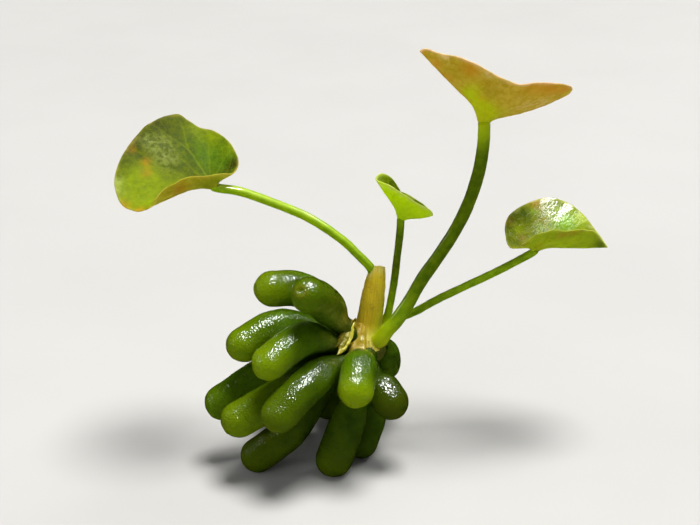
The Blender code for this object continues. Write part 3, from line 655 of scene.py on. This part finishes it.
# ------------------------------------------------------------------ sheath
def sheath(mat):
    """A thin papery scale rolled round the foot of the left stalk, its edges overlapping."""
    rows, cols = 96, 190
    table = [(1.40, 0.25, 19.5, 3.00), (1.45, 0.40, 20.4, 2.62), (1.5, 0.55, 21.5, 2.12), (1.75, 0.7, 23.0, 1.80), (2.02, 0.7, 25.0, 1.70), (2.28, 0.55, 27.0, 1.58),
             (2.55, 0.4, 28.8, 1.42), (2.75, 0.3, 30.2, 1.26), (2.88, 0.2, 31.4, 1.10)]
    line = spline(table, rows)
    centre, inner = relax(line[:, :3], 8), line[:, 3]
    _, u, v = frames(centre)
    up = np.linspace(0, 1, rows)
    turn = np.linspace(-0.12, 2 * math.pi + 0.42, cols)       # more than one turn: the edges overlap
    wrap = turn / (2 * math.pi)
    begin = math.radians(200)
    spiral = 0.22 * smooth(0.86, 1.05, wrap)                   # the outer edge lies over the inner one
    out = np.cos(turn + begin)[None, :, None] * u[:, None, :] + np.sin(turn + begin)[None, :, None] * v[:, None, :]
    ribs = (0.040 * np.cos(26 * turn + 0.6 * np.sin(3 * turn)) + 0.025 * np.cos(43 * turn))[None, :] * (0.5 + 0.6 * up[:, None])
    base = inner[:, None] + 0.12 + spiral[None, :] + ribs
    # the mouth: level in front, drawn up to a point on the right, lower behind
    heading = np.degrees(np.arctan2(out[-1, :, 1], out[-1, :, 0]))
    away = np.abs((heading + 25.0 + 180) % 360 - 180)
    high = smooth(-145, -98, heading) * smooth(115, 60, heading) * (1 - 0.32 * smooth(-55, -8, heading))
    arcpos = np.stack([turn * 1.6, turn * 0, turn * 0], 1)
    tear = 0.14 * noise(arcpos, 0.8, 2) + 0.10 * noise(arcpos, 0.25, 3)
    lift = 0.35 + (1.45 - 0.95 * smooth(-10, 35, heading)) * high + tear
    grow = smooth(0.50, 1.0, up)[:, None] * lift[None, :]
    pos = centre[:, None, :] + out * base[:, :, None]
    pos[:, :, 2] += grow
    # the free point leans in on the stalk
    pull = smooth(0.85, 1.0, up)[:, None] * np.exp(-(away / 70.0) ** 2)[None, :]
    pos -= out * (0.16 * pull)[:, :, None]
    flat = pos.reshape(-1, 3)
    outward = out.reshape(-1, 3)
    flat = flat + outward * (0.07 * noise(flat, 1.5, 6) + 0.03 * noise(flat * (1, 1, 0.3), 0.5, 7))[:, None]
    thick = 0.07
    n = len(flat)
    p = np.vstack([flat + outward * thick, flat - outward * thick])
    i = np.arange(rows - 1)[:, None]
    k = np.arange(cols - 1)[None, :]
    q = np.stack([i * cols + k, i * cols + k + 1, (i + 1) * cols + k + 1, (i + 1) * cols + k], -1).reshape(-1, 4)
    loop = np.r_[np.arange(cols), np.arange(1, rows) * cols + cols - 1,
                 (rows - 1) * cols + np.arange(cols - 2, -1, -1), np.arange(rows - 2, 0, -1) * cols]
    nxt = np.roll(loop, -1)
    quads = np.vstack([q, q[:, ::-1] + n, np.stack([loop, loop + n, nxt + n, nxt], -1)])
    upm = np.repeat(up, cols)
    right = np.clip(0.10 + 0.90 * (0.9 * outward[:, 0] - 0.30 * outward[:, 1]), 0, 1) ** 1.3
    side_edge = np.exp(-((np.tile(wrap, rows) - wrap[-1]) / 0.012) ** 2)
    mouth = np.exp(-((upm - 1) / 0.02) ** 2)
    fibre = np.tile(0.5 + 0.5 * np.cos(26 * turn + 0.6 * np.sin(3 * turn)), rows)
    marks = {"up": upm, "round": right, "edge": np.clip(side_edge + 0.7 * mouth, 0, 1), "fibre": fibre}
    marks = {key: np.r_[value, value] for key, value in marks.items()}
    return piece("leaf_sheath_paper", p, quads, [], marks, [mat], "leaf_sheath")


# ------------------------------------------------------------------ stalks
def stalk(name, mat, leaf, lime, seed, foot_r, root, head=0.0):
    base, middle, top, points = STALKS[name]
    joint, opening = mouth_of(leaf)
    end = joint - opening * (0.80 * top)
    line = relax(spline([root] + points[:-1] + [tuple(np.asarray(points[-1]) - opening * 0.25 * top)] + [tuple(end)], 280), 10)
    run = arc(line)
    inside = np.linalg.norm(np.asarray(points[0]) - np.asarray(root))
    share = np.clip((run - inside) / (run[-1] - inside), 0, 1)
    rad = np.interp(share, (0.0, 0.25, 1.0), (base, middle, top))
    rad = rad + (foot_r - base) * np.exp(-((run - inside) / 1.8) ** 2)
    left = run[-1] - run
    rad = rad * (1 + 0.035 * noise(line, 3.3, seed))
    rad = rad * np.sqrt(np.clip(1 - np.clip(1 - left / (0.8 * top), 0, 1) ** 2, 0.0004, 1))
    tangent, u, v = frames(line)
    sides = 36
    w = np.linspace(0, 2 * math.pi, sides, endpoint=False)
    out = np.cos(w)[None, :, None] * u[:, None, :] + np.sin(w)[None, :, None] * v[:, None, :]
    shape = 1 + 0.030 * np.cos(5 * w + seed)[None, :] + 0.02 * np.cos(2 * w)[None, :]
    p = (line[:, None, :] + out * (rad[:, None] * shape)[:, :, None]).reshape(-1, 3)
    o = out.reshape(-1, 3)
    p = p + o * (0.02 * noise(p, 0.9, seed + 1))[:, None]
    rings = len(line)
    p = np.vstack([p, line[0], line[-1]])
    quads = tube_faces(rings, sides)
    tris = np.vstack([fan(rings * sides, np.arange(sides))[:, ::-1], fan(rings * sides + 1, (rings - 1) * sides + np.arange(sides))])
    foot = np.repeat(np.clip(np.exp(-((run - inside) / 3.0) ** 2) + head * np.exp(-(left / (3.2 * top)) ** 2), 0, 1), sides)
    # painted highlight: the side of the stalk facing one fixed direction, up and to the front
    painted_highlight = np.clip(o @ np.array((0.25, -0.50, 0.83)), 0, 1) ** 6
    lim = np.repeat(np.interp(share, *lime), sides)
    marks = {"foot": np.r_[foot, 1, head] * 0.9, "lime": np.r_[lim, lim[0], lim[-1]], "painted_highlight": np.r_[painted_highlight, 0, 0]}
    return piece(name + "_skin", p, quads, tris, marks, [mat], name)


# ------------------------------------------------------------------ blades
def mouth_of(leaf):
    """The joint of a blade and the way its cup opens."""
    joint, rim = BLADES[leaf]
    joint = np.asarray(joint, float)
    opening = spline(rim, 900, closed=True)[:, :3].mean(0) - joint
    return joint, opening / np.linalg.norm(opening)


def spots(p, below, rows):
    """A soft mask: the sum of round spots (x, y, z, radius, weight[, face]) at points p; face 1 is the inside, -1 the outside."""
    total = np.zeros(len(p))
    for row in rows:
        x, y, z, r, weight = row[:5]
        one = weight * np.exp(-((p - (x, y, z)) ** 2).sum(1) / r ** 2)
        if len(row) > 5:
            one = one * ((1 - below) if row[5] > 0 else below)
        total += one
    return np.clip(total, 0, 1)


def blade(name, mat, seam, mid, seed, wave=0.25, quilt=0.10, crease=0.6, gap=0.45, thick=0.17,
          veins=11, bright=(), green=(), shade=(), stain=(), pale_tissue_and_glints=(), margin=0.55, lobe=0.10, foot=0.68, trumpet=1.7, glaze=()):
    joint, rim = BLADES[name]
    joint, opening = mouth_of(name)
    fine = 900
    loop = spline(rim, fine, closed=True)
    count = len(rim)
    length = np.linalg.norm(np.diff(loop[:, :3], axis=0, append=loop[:1, :3]), axis=1).sum()
    # where along the loop each rim point lies
    knots = [int(np.argmin(((loop[:, :3] - np.asarray(r[:3])) ** 2).sum(1))) / fine for r in rim]

    def turn_of(index):
        low = int(math.floor(index)) % count
        a, b = knots[low], knots[(low + 1) % count]
        if b < a:
            b += 1.0
        return (a + (b - a) * (index - math.floor(index))) % 1.0

    def at(u):
        f = (np.asarray(u) % 1.0) * fine
        i = np.floor(f).astype(int) % fine
        t = (f - np.floor(f))[:, None]
        return loop[i] * (1 - t) + loop[(i + 1) % fine] * t

    cols, rows = 260, 52
    half_gap = 0.5 * gap / length
    seam_at, mid_at = turn_of(seam), turn_of(mid)
    t = np.linspace(half_gap, 1 - half_gap, cols)
    u = (seam_at + t) % 1.0
    edge = at(u)
    rib = edge[:, :3] - joint
    rib_len = np.linalg.norm(rib, axis=1)
    from_seam = np.minimum(t, 1 - t) * length
    reach = 1 - lobe * np.exp(-(from_seam / 1.1) ** 2)
    ss = 0.015 + 0.985 * np.linspace(0, 1, rows) ** 0.92
    s = ss[:, None] * reach[None, :]
    # turn around the joint, as seen from the midrib: -0.5 .. 0.5
    from_mid = (u - mid_at + 0.5) % 1.0 - 0.5
    fold = np.exp(-(np.sqrt((from_mid * length) ** 2 + 0.09) - 0.3) / 2.4)
    sag = edge[:, 3][None, :] + crease * fold[None, :]
    pos = joint + rib[None] * s[..., None] - (sag * 4 * s * (1 - s))[..., None] * opening
    ds = np.gradient(pos, axis=0)
    du = np.gradient(pos, axis=1)
    nrm = np.cross(ds, du)
    nrm /= np.linalg.norm(nrm, axis=2)[..., None] + 1e-12
    nrm[0] = nrm[3].mean(0)
    nrm[0] /= np.linalg.norm(nrm[0], axis=1)[:, None]
    nrm[1] = 0.5 * (nrm[0] + nrm[3])
    nrm[2] = 0.25 * nrm[0] + 0.75 * nrm[3]
    nrm /= np.linalg.norm(nrm, axis=2)[..., None]
    if (nrm * opening).sum() < 0:
        nrm = -nrm
    flat = pos.reshape(-1, 3)
    sf = s.reshape(-1)
    uf = np.tile(u, rows)
    # veins fan out from the joint and fork half way
    mask = np.zeros(len(flat))
    rng = np.random.default_rng(int(seed * 10) + 5)
    for k in range(veins):
        centre = seam_at + (k + 0.5 + rng.uniform(-0.15, 0.15)) / veins
        strong = 1.0 if abs(((centre - mid_at + 0.5) % 1.0) - 0.5) < 0.5 / veins else 0.7
        bend = rng.uniform(-0.02, 0.02)
        split = rng.uniform(0.42, 0.6)
        spread = rng.uniform(0.20, 0.34) / veins
        for way in (-1, 1):
            path = centre + bend * np.sin(3.0 * sf) + way * spread * smooth(split, 1.0, sf) * 1.3
            d = np.abs((uf - path + 0.5) % 1.0 - 0.5) * length * sf
            wid = 0.17 * (1.15 - 0.6 * sf)
            mask = np.maximum(mask, strong * np.exp(-(d / wid) ** 2) * smooth(1.02, 0.8, sf))
    round_ = np.stack([np.cos(2 * math.pi * uf) * 3.2, np.sin(2 * math.pi * uf) * 3.2, np.zeros(len(uf)) + seed], 1)
    d = wave * noise(round_, 1.0, seed) * sf ** 3
    d += quilt * noise(flat, 2.3, seed + 1) * smooth(0.05, 0.3, sf) + 0.45 * quilt * noise(flat, 1.0, seed + 2) * smooth(0.05, 0.3, sf)
    d += 0.018 * noise(flat, 0.42, seed + 3)
    flat = flat + nrm.reshape(-1, 3) * d[:, None]
    pos = flat.reshape(rows, cols, 3)
    ds = np.gradient(pos, axis=0)
    du = np.gradient(pos, axis=1)
    n2 = np.cross(ds, du)
    n2 /= np.linalg.norm(n2, axis=2)[..., None] + 1e-12
    if (n2 * nrm).sum() < 0:
        n2 = -n2
    n2[:3] = nrm[:3]
    h = thick * (1 - 0.45 * ss)[:, None] * np.ones(cols)[None, :]
    m = mask.reshape(rows, cols)
    upper = pos + n2 * (h - 0.035 * m)[..., None]
    lower = pos - n2 * (h + 0.065 * m)[..., None]
    # the outside draws down like a trumpet on to the petiole
    off = np.clip(np.linalg.norm(lower - joint, axis=2) - 0.85 * foot, 0, None)
    lower = lower - opening * (trumpet * foot * np.exp(-(off / (0.9 * foot + 0.2)) ** 1.15))[..., None]
    away = rib / rib_len[:, None]
    rim_pts = []
    for deg in (35, 90, 145):
        a = math.radians(deg)
        rim_pts.append(pos[-1] + n2[-1] * (h[-1] * math.cos(a))[:, None] + away * (h[-1] * math.sin(a) * 1.1)[:, None])
    strip = np.concatenate([upper, np.array(rim_pts), lower[::-1]], 0)      # J x cols x 3
    J = len(strip)
    verts = strip.reshape(-1, 3)
    cu = joint + n2[0].mean(0) * h[0, 0]
    cl = joint - n2[0].mean(0) * h[0, 0] - opening * trumpet * foot
    verts = np.vstack([verts, cu, cl])
    ju = len(verts) - 2
    j = np.arange(J - 1)[:, None]
    k = np.arange(cols - 1)[None, :]
    quads = [np.stack([j * cols + k, j * cols + k + 1, (j + 1) * cols + k + 1, (j + 1) * cols + k], -1).reshape(-1, 4)]
    k = np.arange(cols - 1)
    tris = [np.stack([np.full(cols - 1, ju), k + 1, k], -1),
            np.stack([np.full(cols - 1, ju + 1), (J - 1) * cols + k, (J - 1) * cols + k + 1], -1)]
    half = (J - 1) // 2
    for col, flip in ((0, False), (cols - 1, True)):
        a = np.arange(half - 1)
        q = np.stack([a * cols + col, (a + 1) * cols + col, (J - 2 - a) * cols + col, (J - 1 - a) * cols + col], -1)
        tr = np.array([[(half - 1) * cols + col, half * cols + col, (half + 1) * cols + col]])
        q = np.vstack([q, [[ju, col, (J - 1) * cols + col, ju + 1]]])
        if flip:
            q, tr = q[:, ::-1], tr[:, ::-1]
        quads.append(q)
        tris.append(tr)
    below = np.r_[np.zeros(rows), 0.3, 0.6, 1.0, np.ones(rows)]
    below = np.r_[np.repeat(below, cols), 0, 1]
    to_rim = ((1 - ss)[:, None] * reach[None, :] * rib_len[None, :])
    to_rim = np.concatenate([to_rim, np.zeros((3, cols)), to_rim[::-1]], 0).reshape(-1)
    to_rim = np.r_[to_rim, rib_len.mean(), rib_len.mean()]
    to_side = (np.minimum(t, 1 - t) * length)[None, :] * s
    to_side = np.concatenate([to_side, np.repeat(to_side[-1:], 3, 0), to_side[::-1]], 0).reshape(-1)
    to_side = np.r_[to_side, 0.5, 0.5]
    # a narrow, uneven pale margin
    ragged = 0.6 + 0.4 * noise(verts, 1.6, seed + 5)
    rimmed = margin * np.exp(-(np.minimum(to_rim, to_side * 1.3 + 0.15) / (0.36 * np.clip(ragged, 0.25, 1.2))) ** 1.5)
    vm = np.concatenate([m, np.zeros((3, cols)), m[::-1]], 0).reshape(-1)
    vm = np.r_[vm, 1, 1]
    bright = tuple(bright) + ((*joint, 2.0 + foot, 0.8, -1),)
    marks = {"under": below, "vein": vm, "margin": np.clip(rimmed, 0, 1)}
    for key, rows_ in (("bright", bright), ("green", green), ("shade", shade), ("stain", stain), ("pale_tissue_and_glints", pale_tissue_and_glints), ("glaze", glaze)):
        marks[key] = spots(verts, below, rows_)
    return piece(name + "_leaf", verts, np.vstack(quads), np.vstack(tris), marks, [mat], name)


# ------------------------------------------------------------------ build
skin = tuber_skin()
for k, name in enumerate(TUBERS):
    tuber(name, k + 1.0, skin)
crown(crown_skin())
sheath(sheath_paper())
petiole = stalk_skin()
stalk("petiole_left", petiole, "blade_left", ((0, 0.2, 0.4, 1), (0.6, 0.9, 1.0, 1.0)), 1.0, 0.85, (1.1, 0.95, 19.8))
# the centre stalk's low part is lime, partly its own colour and partly painted light where the sheath shades it
stalk("petiole_centre", petiole, "blade_centre", ((0, 0.25, 0.40, 0.55, 0.85, 0.95, 1), (1.0, 1.0, 0.50, 0.10, 0.10, 0.6, 1.0)), 2.0, 1.15, (3.0, 1.7, 18.6))
stalk("petiole_tall", petiole, "blade_top", ((0, 0.12, 0.30, 0.75, 0.88, 0.95, 1), (1.00, 0.60, 0.12, 0.05, 0.20, 0.95, 1.0)), 3.0, 1.32, (2.2, -0.6, 20.0), head=1.0)
stalk("petiole_right", petiole, "blade_right", ((0, 0.3, 1), (0.5, 0.60, 0.75)), 4.0, 1.0, (1.0, 2.6, 19.4))

blade("blade_left", blade_skin("blade_left_skin", up=((0.048, 0.070, 0.001), (0.098, 0.120, 0.002)), low=((0.420, 0.350, 0.008), (0.520, 0.450, 0.035)),
                               green=((0.050, 0.115, 0.0005), (0.088, 0.165, 0.001)), shade=(0.036, 0.042, 0.001), bright=((0.165, 0.225, 0.001), (0.230, 0.300, 0.003)),
                               stain=(0.420, 0.200, 0.006), pale=(0.340, 0.390, 0.100), rim=(0.440, 0.360, 0.060), vein=(0.270, 0.340, 0.010), gloss=0.55, coat=0.0, bumps=0.07),
      seam=4.5, mid=14.0, seed=1.0, crease=0.9, foot=0.68,
      # the broad bright spots on the lower left of the cup are painted light, where the sun falls on and through it;
      # the small ones to the right are lighter tissue
      bright=((-31.1, -4.0, 46.6, 3.3, 1.0, 1), (-34.4, -4.3, 46.7, 3.0, 1.0, 1), (-33.9, -6.4, 45.0, 2.5, 0.9, 1), (-31.9, -1.9, 48.6, 1.9, 0.6, 1),
              (-22.2, 4.2, 52.4, 1.7, 0.9), (-24.9, 5.3, 53.4, 1.4, 0.7), (-19.4, 2.0, 51.3, 1.3, 0.7), (-27.0, -3.2, 47.4, 1.7, 0.7, 1), (-21.0, -3.2, 48.2, 1.2, 0.35, -1)),
      green=((-22.8, 2.0, 50.9, 3.6, 1.0, 1), (-20.4, 0.0, 50.0, 3.0, 0.9, 1)),
      # shade spots: painted shade on the upper left of the cup, where the far half shades it, at the lower right and
      # along the fold; the two at the left margin are brown marks
      shade=((-33.6, 2.2, 52.6, 1.3, 0.8), (-30.2, 4.4, 54.0, 2.2, 0.45, 1), (-34.6, 1.0, 51.7, 0.9, 0.9), (-19.2, -1.2, 49.4, 1.2, 0.9, 1), (-18.4, -0.6, 50.0, 0.8, 0.7, 1), (-31.0, 4.6, 54.2, 1.2, 0.5, 1),
             (-25.6, 1.6, 50.9, 0.8, 0.5, 1), (-25.2, -0.4, 49.4, 0.7, 0.5, 1), (-20.8, -2.2, 48.6, 1.0, 0.5, 1)),
      stain=((-32.0, -0.5, 49.9, 0.7, 0.7, 1), (-31.8, -1.9, 48.7, 0.8, 0.6, 1), (-34.9, -6.3, 44.9, 1.0, 0.7), (-32.4, -7.8, 44.8, 0.9, 0.9), (-26.5, -5.5, 47.1, 1.2, 0.8, -1),
             (-34.2, 0.8, 51.5, 0.7, 0.4), (-23.0, -4.4, 49.0, 0.7, 0.4, -1), (-18.0, -1.2, 49.7, 0.6, 0.5, -1)),
      # the pale spots here are painted highlights: flecks in the olive half and a line along the left edge, where the
      # wet surface would catch the lamp
      pale_tissue_and_glints=((-30.2, 1.6, 51.8, 1.9, 0.45, 1), (-28.8, 0.2, 50.2, 1.7, 0.40, 1), (-32.2, 2.2, 52.5, 0.9, 0.5, 1), (-36.2, -3.3, 47.7, 1.0, 0.8), (-36.0, -4.6, 46.5, 0.9, 0.7)))
blade("blade_centre", blade_skin("blade_centre_skin", up=((0.150, 0.230, 0.001), (0.230, 0.340, 0.002)), low=((0.500, 0.730, 0.0005), (0.580, 0.800, 0.002)),
                                 green=((0.180, 0.330, 0.001), (0.250, 0.420, 0.002)), shade=(0.070, 0.100, 0.001), bright=((0.320, 0.520, 0.001), (0.390, 0.580, 0.008)),
                                 stain=(0.200, 0.220, 0.002), pale=(0.560, 0.640, 0.160), rim=(0.500, 0.580, 0.110), vein=(0.340, 0.520, 0.010)),
      seam=13.5, mid=3.0, seed=2.0, wave=0.08, quilt=0.04, crease=0.1, gap=0.3, thick=0.17, veins=7, foot=0.60, margin=0.9, trumpet=1.5,
      # shade spots: painted shade in the hollow of the rolled cup
      shade=((4.9, 0.9, 46.0, 1.3, 0.9, 1), (6.2, 1.4, 44.4, 1.2, 0.85, 1), (6.4, 0.4, 43.2, 1.6, 0.9, 1), (8.8, 0.6, 42.8, 1.0, 0.6, 1)),
      # the pale spots on the rim are painted highlights
      pale_tissue_and_glints=((2.7, -0.6, 47.1, 0.8, 0.9), (3.1, -0.9, 46.2, 0.6, 0.6), (11.1, 0.0, 41.7, 0.7, 0.9), (5.0, -1.7, 46.3, 0.6, 0.7), (6.4, -1.9, 45.4, 0.5, 0.6)))
# the top leaf's wide pinkish margin is partly its own pale edge and partly a painted highlight along the upper rim; its
# pale spots along the upper rim are painted highlights too
blade("blade_top", blade_skin("blade_top_skin", up=((0.170, 0.200, 0.003), (0.260, 0.270, 0.008)), low=((0.430, 0.290, 0.008), (0.560, 0.390, 0.040)),
                              green=((0.330, 0.200, 0.050), (0.420, 0.260, 0.080)), shade=(0.330, 0.250, 0.003), bright=((0.420, 0.480, 0.001), (0.500, 0.560, 0.003)),
                              stain=(0.560, 0.230, 0.010), pale=(0.700, 0.500, 0.200), rim=(0.760, 0.480, 0.260), vein=(0.430, 0.350, 0.020),
                              gloss=0.50, coat=0.05, bumps=0.07),
      seam=15.0, mid=4.0, seed=3.0, wave=0.3, crease=0.2, foot=0.87, veins=11, margin=0.95,
      bright=((18.6, -0.4, 57.6, 1.8, 1.0, -1), (17.7, -1.2, 59.6, 1.4, 0.9, -1), (16.0, -1.2, 60.6, 1.1, 0.8, -1), (16.9, -2.1, 61.8, 1.3, 0.6, -1), (31.0, 0.4, 60.4, 0.8, 0.35, -1)),
      shade=((14.0, -2.8, 64.3, 1.9, 0.45, -1), (19.4, -2.6, 61.4, 1.6, 0.4, -1)),
      stain=((16.1, -3.6, 65.0, 1.2, 0.9, -1), (18.2, -1.9, 60.0, 0.8, 0.35, -1), (25.4, -3.2, 62.3, 1.6, 0.6, -1), (28.2, -2.2, 62.0, 1.7, 0.8, -1), (30.4, -0.6, 61.2, 1.2, 0.8, -1),
             (11.4, -1.8, 65.4, 0.9, 0.6, -1), (9.4, -1.3, 67.2, 0.8, 0.5), (13.0, -1.6, 63.0, 0.8, 0.5, -1)),
      pale_tissue_and_glints=((27.4, 0.6, 58.6, 1.5, 0.5, -1), (24.6, 0.0, 58.8, 1.4, 0.35, -1), (12.6, -3.3, 66.8, 0.8, 0.8), (19.0, -4.0, 64.7, 0.9, 0.8), (21.4, -3.8, 63.4, 0.8, 0.6)))
blade("blade_right", blade_skin("blade_right_skin", up=((0.140, 0.185, 0.001), (0.230, 0.270, 0.003)), low=((0.240, 0.320, 0.001), (0.320, 0.400, 0.003)),
                                green=((0.150, 0.330, 0.001), (0.220, 0.420, 0.002)), shade=(0.050, 0.095, 0.001), bright=((0.310, 0.410, 0.001), (0.390, 0.500, 0.003)),
                                stain=(0.300, 0.190, 0.008), pale=(0.560, 0.600, 0.240), rim=(0.480, 0.460, 0.080), vein=(0.300, 0.350, 0.010), gloss=0.45, coat=1.0, bumps=0.13, film=1.6, wet=0.24),
      seam=0.6, mid=10.0, seed=4.0, crease=0.3, foot=0.60, quilt=0.04, trumpet=1.2,
      green=((32.6, 5.4, 38.0, 2.2, 1.0, 1), (28.6, 4.4, 37.6, 0.8, 0.5, 1), (27.6, 6.2, 39.6, 0.7, 0.8, 1)),
      bright=((24.8, 3.0, 37.3, 1.2, 0.9, 1), (35.2, 5.8, 38.4, 1.5, 0.8, 1), (30.0, 0.9, 35.9, 1.4, 0.6, -1), (32.3, 1.1, 36.1, 1.8, 0.8, -1), (35.5, 1.6, 36.0, 1.2, 0.5, -1)),
      glaze=((31.4, 6.6, 39.3, 1.9, 1.0, 1), (30.4, 7.5, 40.4, 1.6, 1.0, 1), (33.4, 7.0, 39.4, 1.0, 0.6, 1), (28.9, 2.5, 36.6, 1.2, 0.5, 1)),
      shade=((26.0, 5.5, 39.2, 1.2, 0.95, 1), (37.9, 2.0, 35.6, 1.2, 0.8, -1), (24.2, 4.4, 39.4, 0.7, 0.6, 1), (30.4, 3.0, 36.2, 1.0, 0.4, 1)),
      stain=((28.0, 7.4, 40.5, 1.3, 0.9, 1), (25.3, 2.2, 36.5, 0.8, 0.7, 1), (23.5, 3.5, 39.0, 0.9, 0.6), (29.0, 5.2, 38.2, 1.0, 0.4, 1), (24.9, -0.7, 36.7, 0.9, 0.8, -1),
             (31.3, -0.8, 38.2, 0.9, 0.7, -1), (33.2, -0.6, 38.3, 1.0, 0.6, -1), (28.0, 0.8, 36.0, 0.8, 0.4, -1)),
      pale_tissue_and_glints=((36.6, 5.3, 37.6, 0.6, 0.7), (37.6, 4.4, 36.4, 0.5, 0.5), (24.6, 5.4, 40.0, 0.6, 0.6)))


# ------------------------------------------------------------------ studio
def ground(name, size, dark, light):
    import bmesh
    bm = bmesh.new()
    bmesh.ops.create_grid(bm, x_segments=8, y_segments=8, size=size)
    me = bpy.data.meshes.new(name)
    bm.to_mesh(me)
    bm.free()
    ob = bpy.data.objects.new(name, me)
    bpy.context.scene.collection.objects.link(ob)
    g = Graph(name + "_paint")
    g.set(Base_Color=g.mix(g.fit(g.noise(0.02, 3), 0.3, 0.7), dark, light), Roughness=0.85, Specular_IOR_Level=0.1)
    me.materials.append(g.mat)
    ob.visible_glossy = False
    return ob


def lamp(name, at, aim, watts, size, size_y=None, colour=(1, 1, 1), mirrored=True, lights=True):
    """An area lamp; with size 0 a distant soft sun, and size_y is then its angle."""
    data = bpy.data.lights.new(name, "AREA" if size else "SUN")
    data.energy = watts
    data.color = colour
    if size:
        data.shape = "RECTANGLE" if size_y else "DISK"
        data.size = size
        if size_y:
            data.size_y = size_y
    else:
        data.angle = size_y
    ob = bpy.data.objects.new(name, data)
    ob.location = at
    ob.rotation_euler = (Vector(aim) - Vector(at)).to_track_quat("-Z", "Y").to_euler()
    ob.visible_glossy = mirrored
    ob.visible_diffuse = lights
    bpy.context.scene.collection.objects.link(ob)
    return ob


# the soft sun, the fill and the surround light the plant; its gloss mirrors only the small lamps
ground("studio_floor", 6.0, (0.500, 0.495, 0.485), (0.515, 0.510, 0.500))
lamp("sun", (0.075, -0.045, 0.58), (0, 0, 0.03), 4.3, 0, math.radians(24), (1.0, 0.99, 0.96), mirrored=False)
lamp("strip", (0.075, -0.045, 0.58), (0, 0, 0.03), 7.5, 0.30, 0.07, lights=False)
lamp("side", (0.38, 0.20, 0.45), (0, 0, 0.03), 0.70, 0.16)
lamp("left", (-0.52, -0.05, 0.25), (0, 0, 0.04), 0.22, 0.10)
lamp("front", (-0.42, -0.62, 0.42), (0, 0, 0.03), 1.10, 0.50, colour=(0.98, 0.99, 1.0), mirrored=False)

world = bpy.data.worlds.new("studio")
bpy.context.scene.world = world
world.use_nodes = True
w = world.node_tree
coord = w.nodes.new("ShaderNodeTexCoord")
split = w.nodes.new("ShaderNodeSeparateXYZ")
fade = w.nodes.new("ShaderNodeMapRange")
glow = w.nodes.new("ShaderNodeMapRange")
total = w.nodes.new("ShaderNodeMath")
total.operation = "ADD"
for node, values in ((fade, (0.0, 0.5, 0.32, 0.10)), (glow, (0.0, 0.22, 0.42, 0.0))):
    node.interpolation_type = "SMOOTHSTEP"
    for key, value in zip(("From Min", "From Max", "To Min", "To Max"), values):
        node.inputs[key].default_value = value
    w.links.new(split.outputs["Z"], node.inputs["Value"])
    w.links.new(node.outputs["Result"], total.inputs[0 if node is fade else 1])
w.links.new(coord.outputs["Generated"], split.inputs["Vector"])
w.links.new(total.outputs["Value"], w.nodes["Background"].inputs["Strength"])
w.nodes["Background"].inputs["Color"].default_value = (0.97, 0.98, 1.0, 1.0)
world.cycles_visibility.glossy = False

camera = bpy.data.cameras.new("camera")
camera.sensor_width = 36.0
camera.lens = 36.0 * 1480.0 / 700.0
camera.clip_start = 0.01
camera.clip_end = 20.0
eye = bpy.data.objects.new("camera", camera)
eye.location = (-0.00247, -0.21258, 0.11938)
eye.rotation_euler = (math.radians(68.0), 0.0, 0.0)
bpy.context.scene.collection.objects.link(eye)
bpy.context.scene.camera = eye
bpy.context.scene.view_settings.view_transform = "Standard"
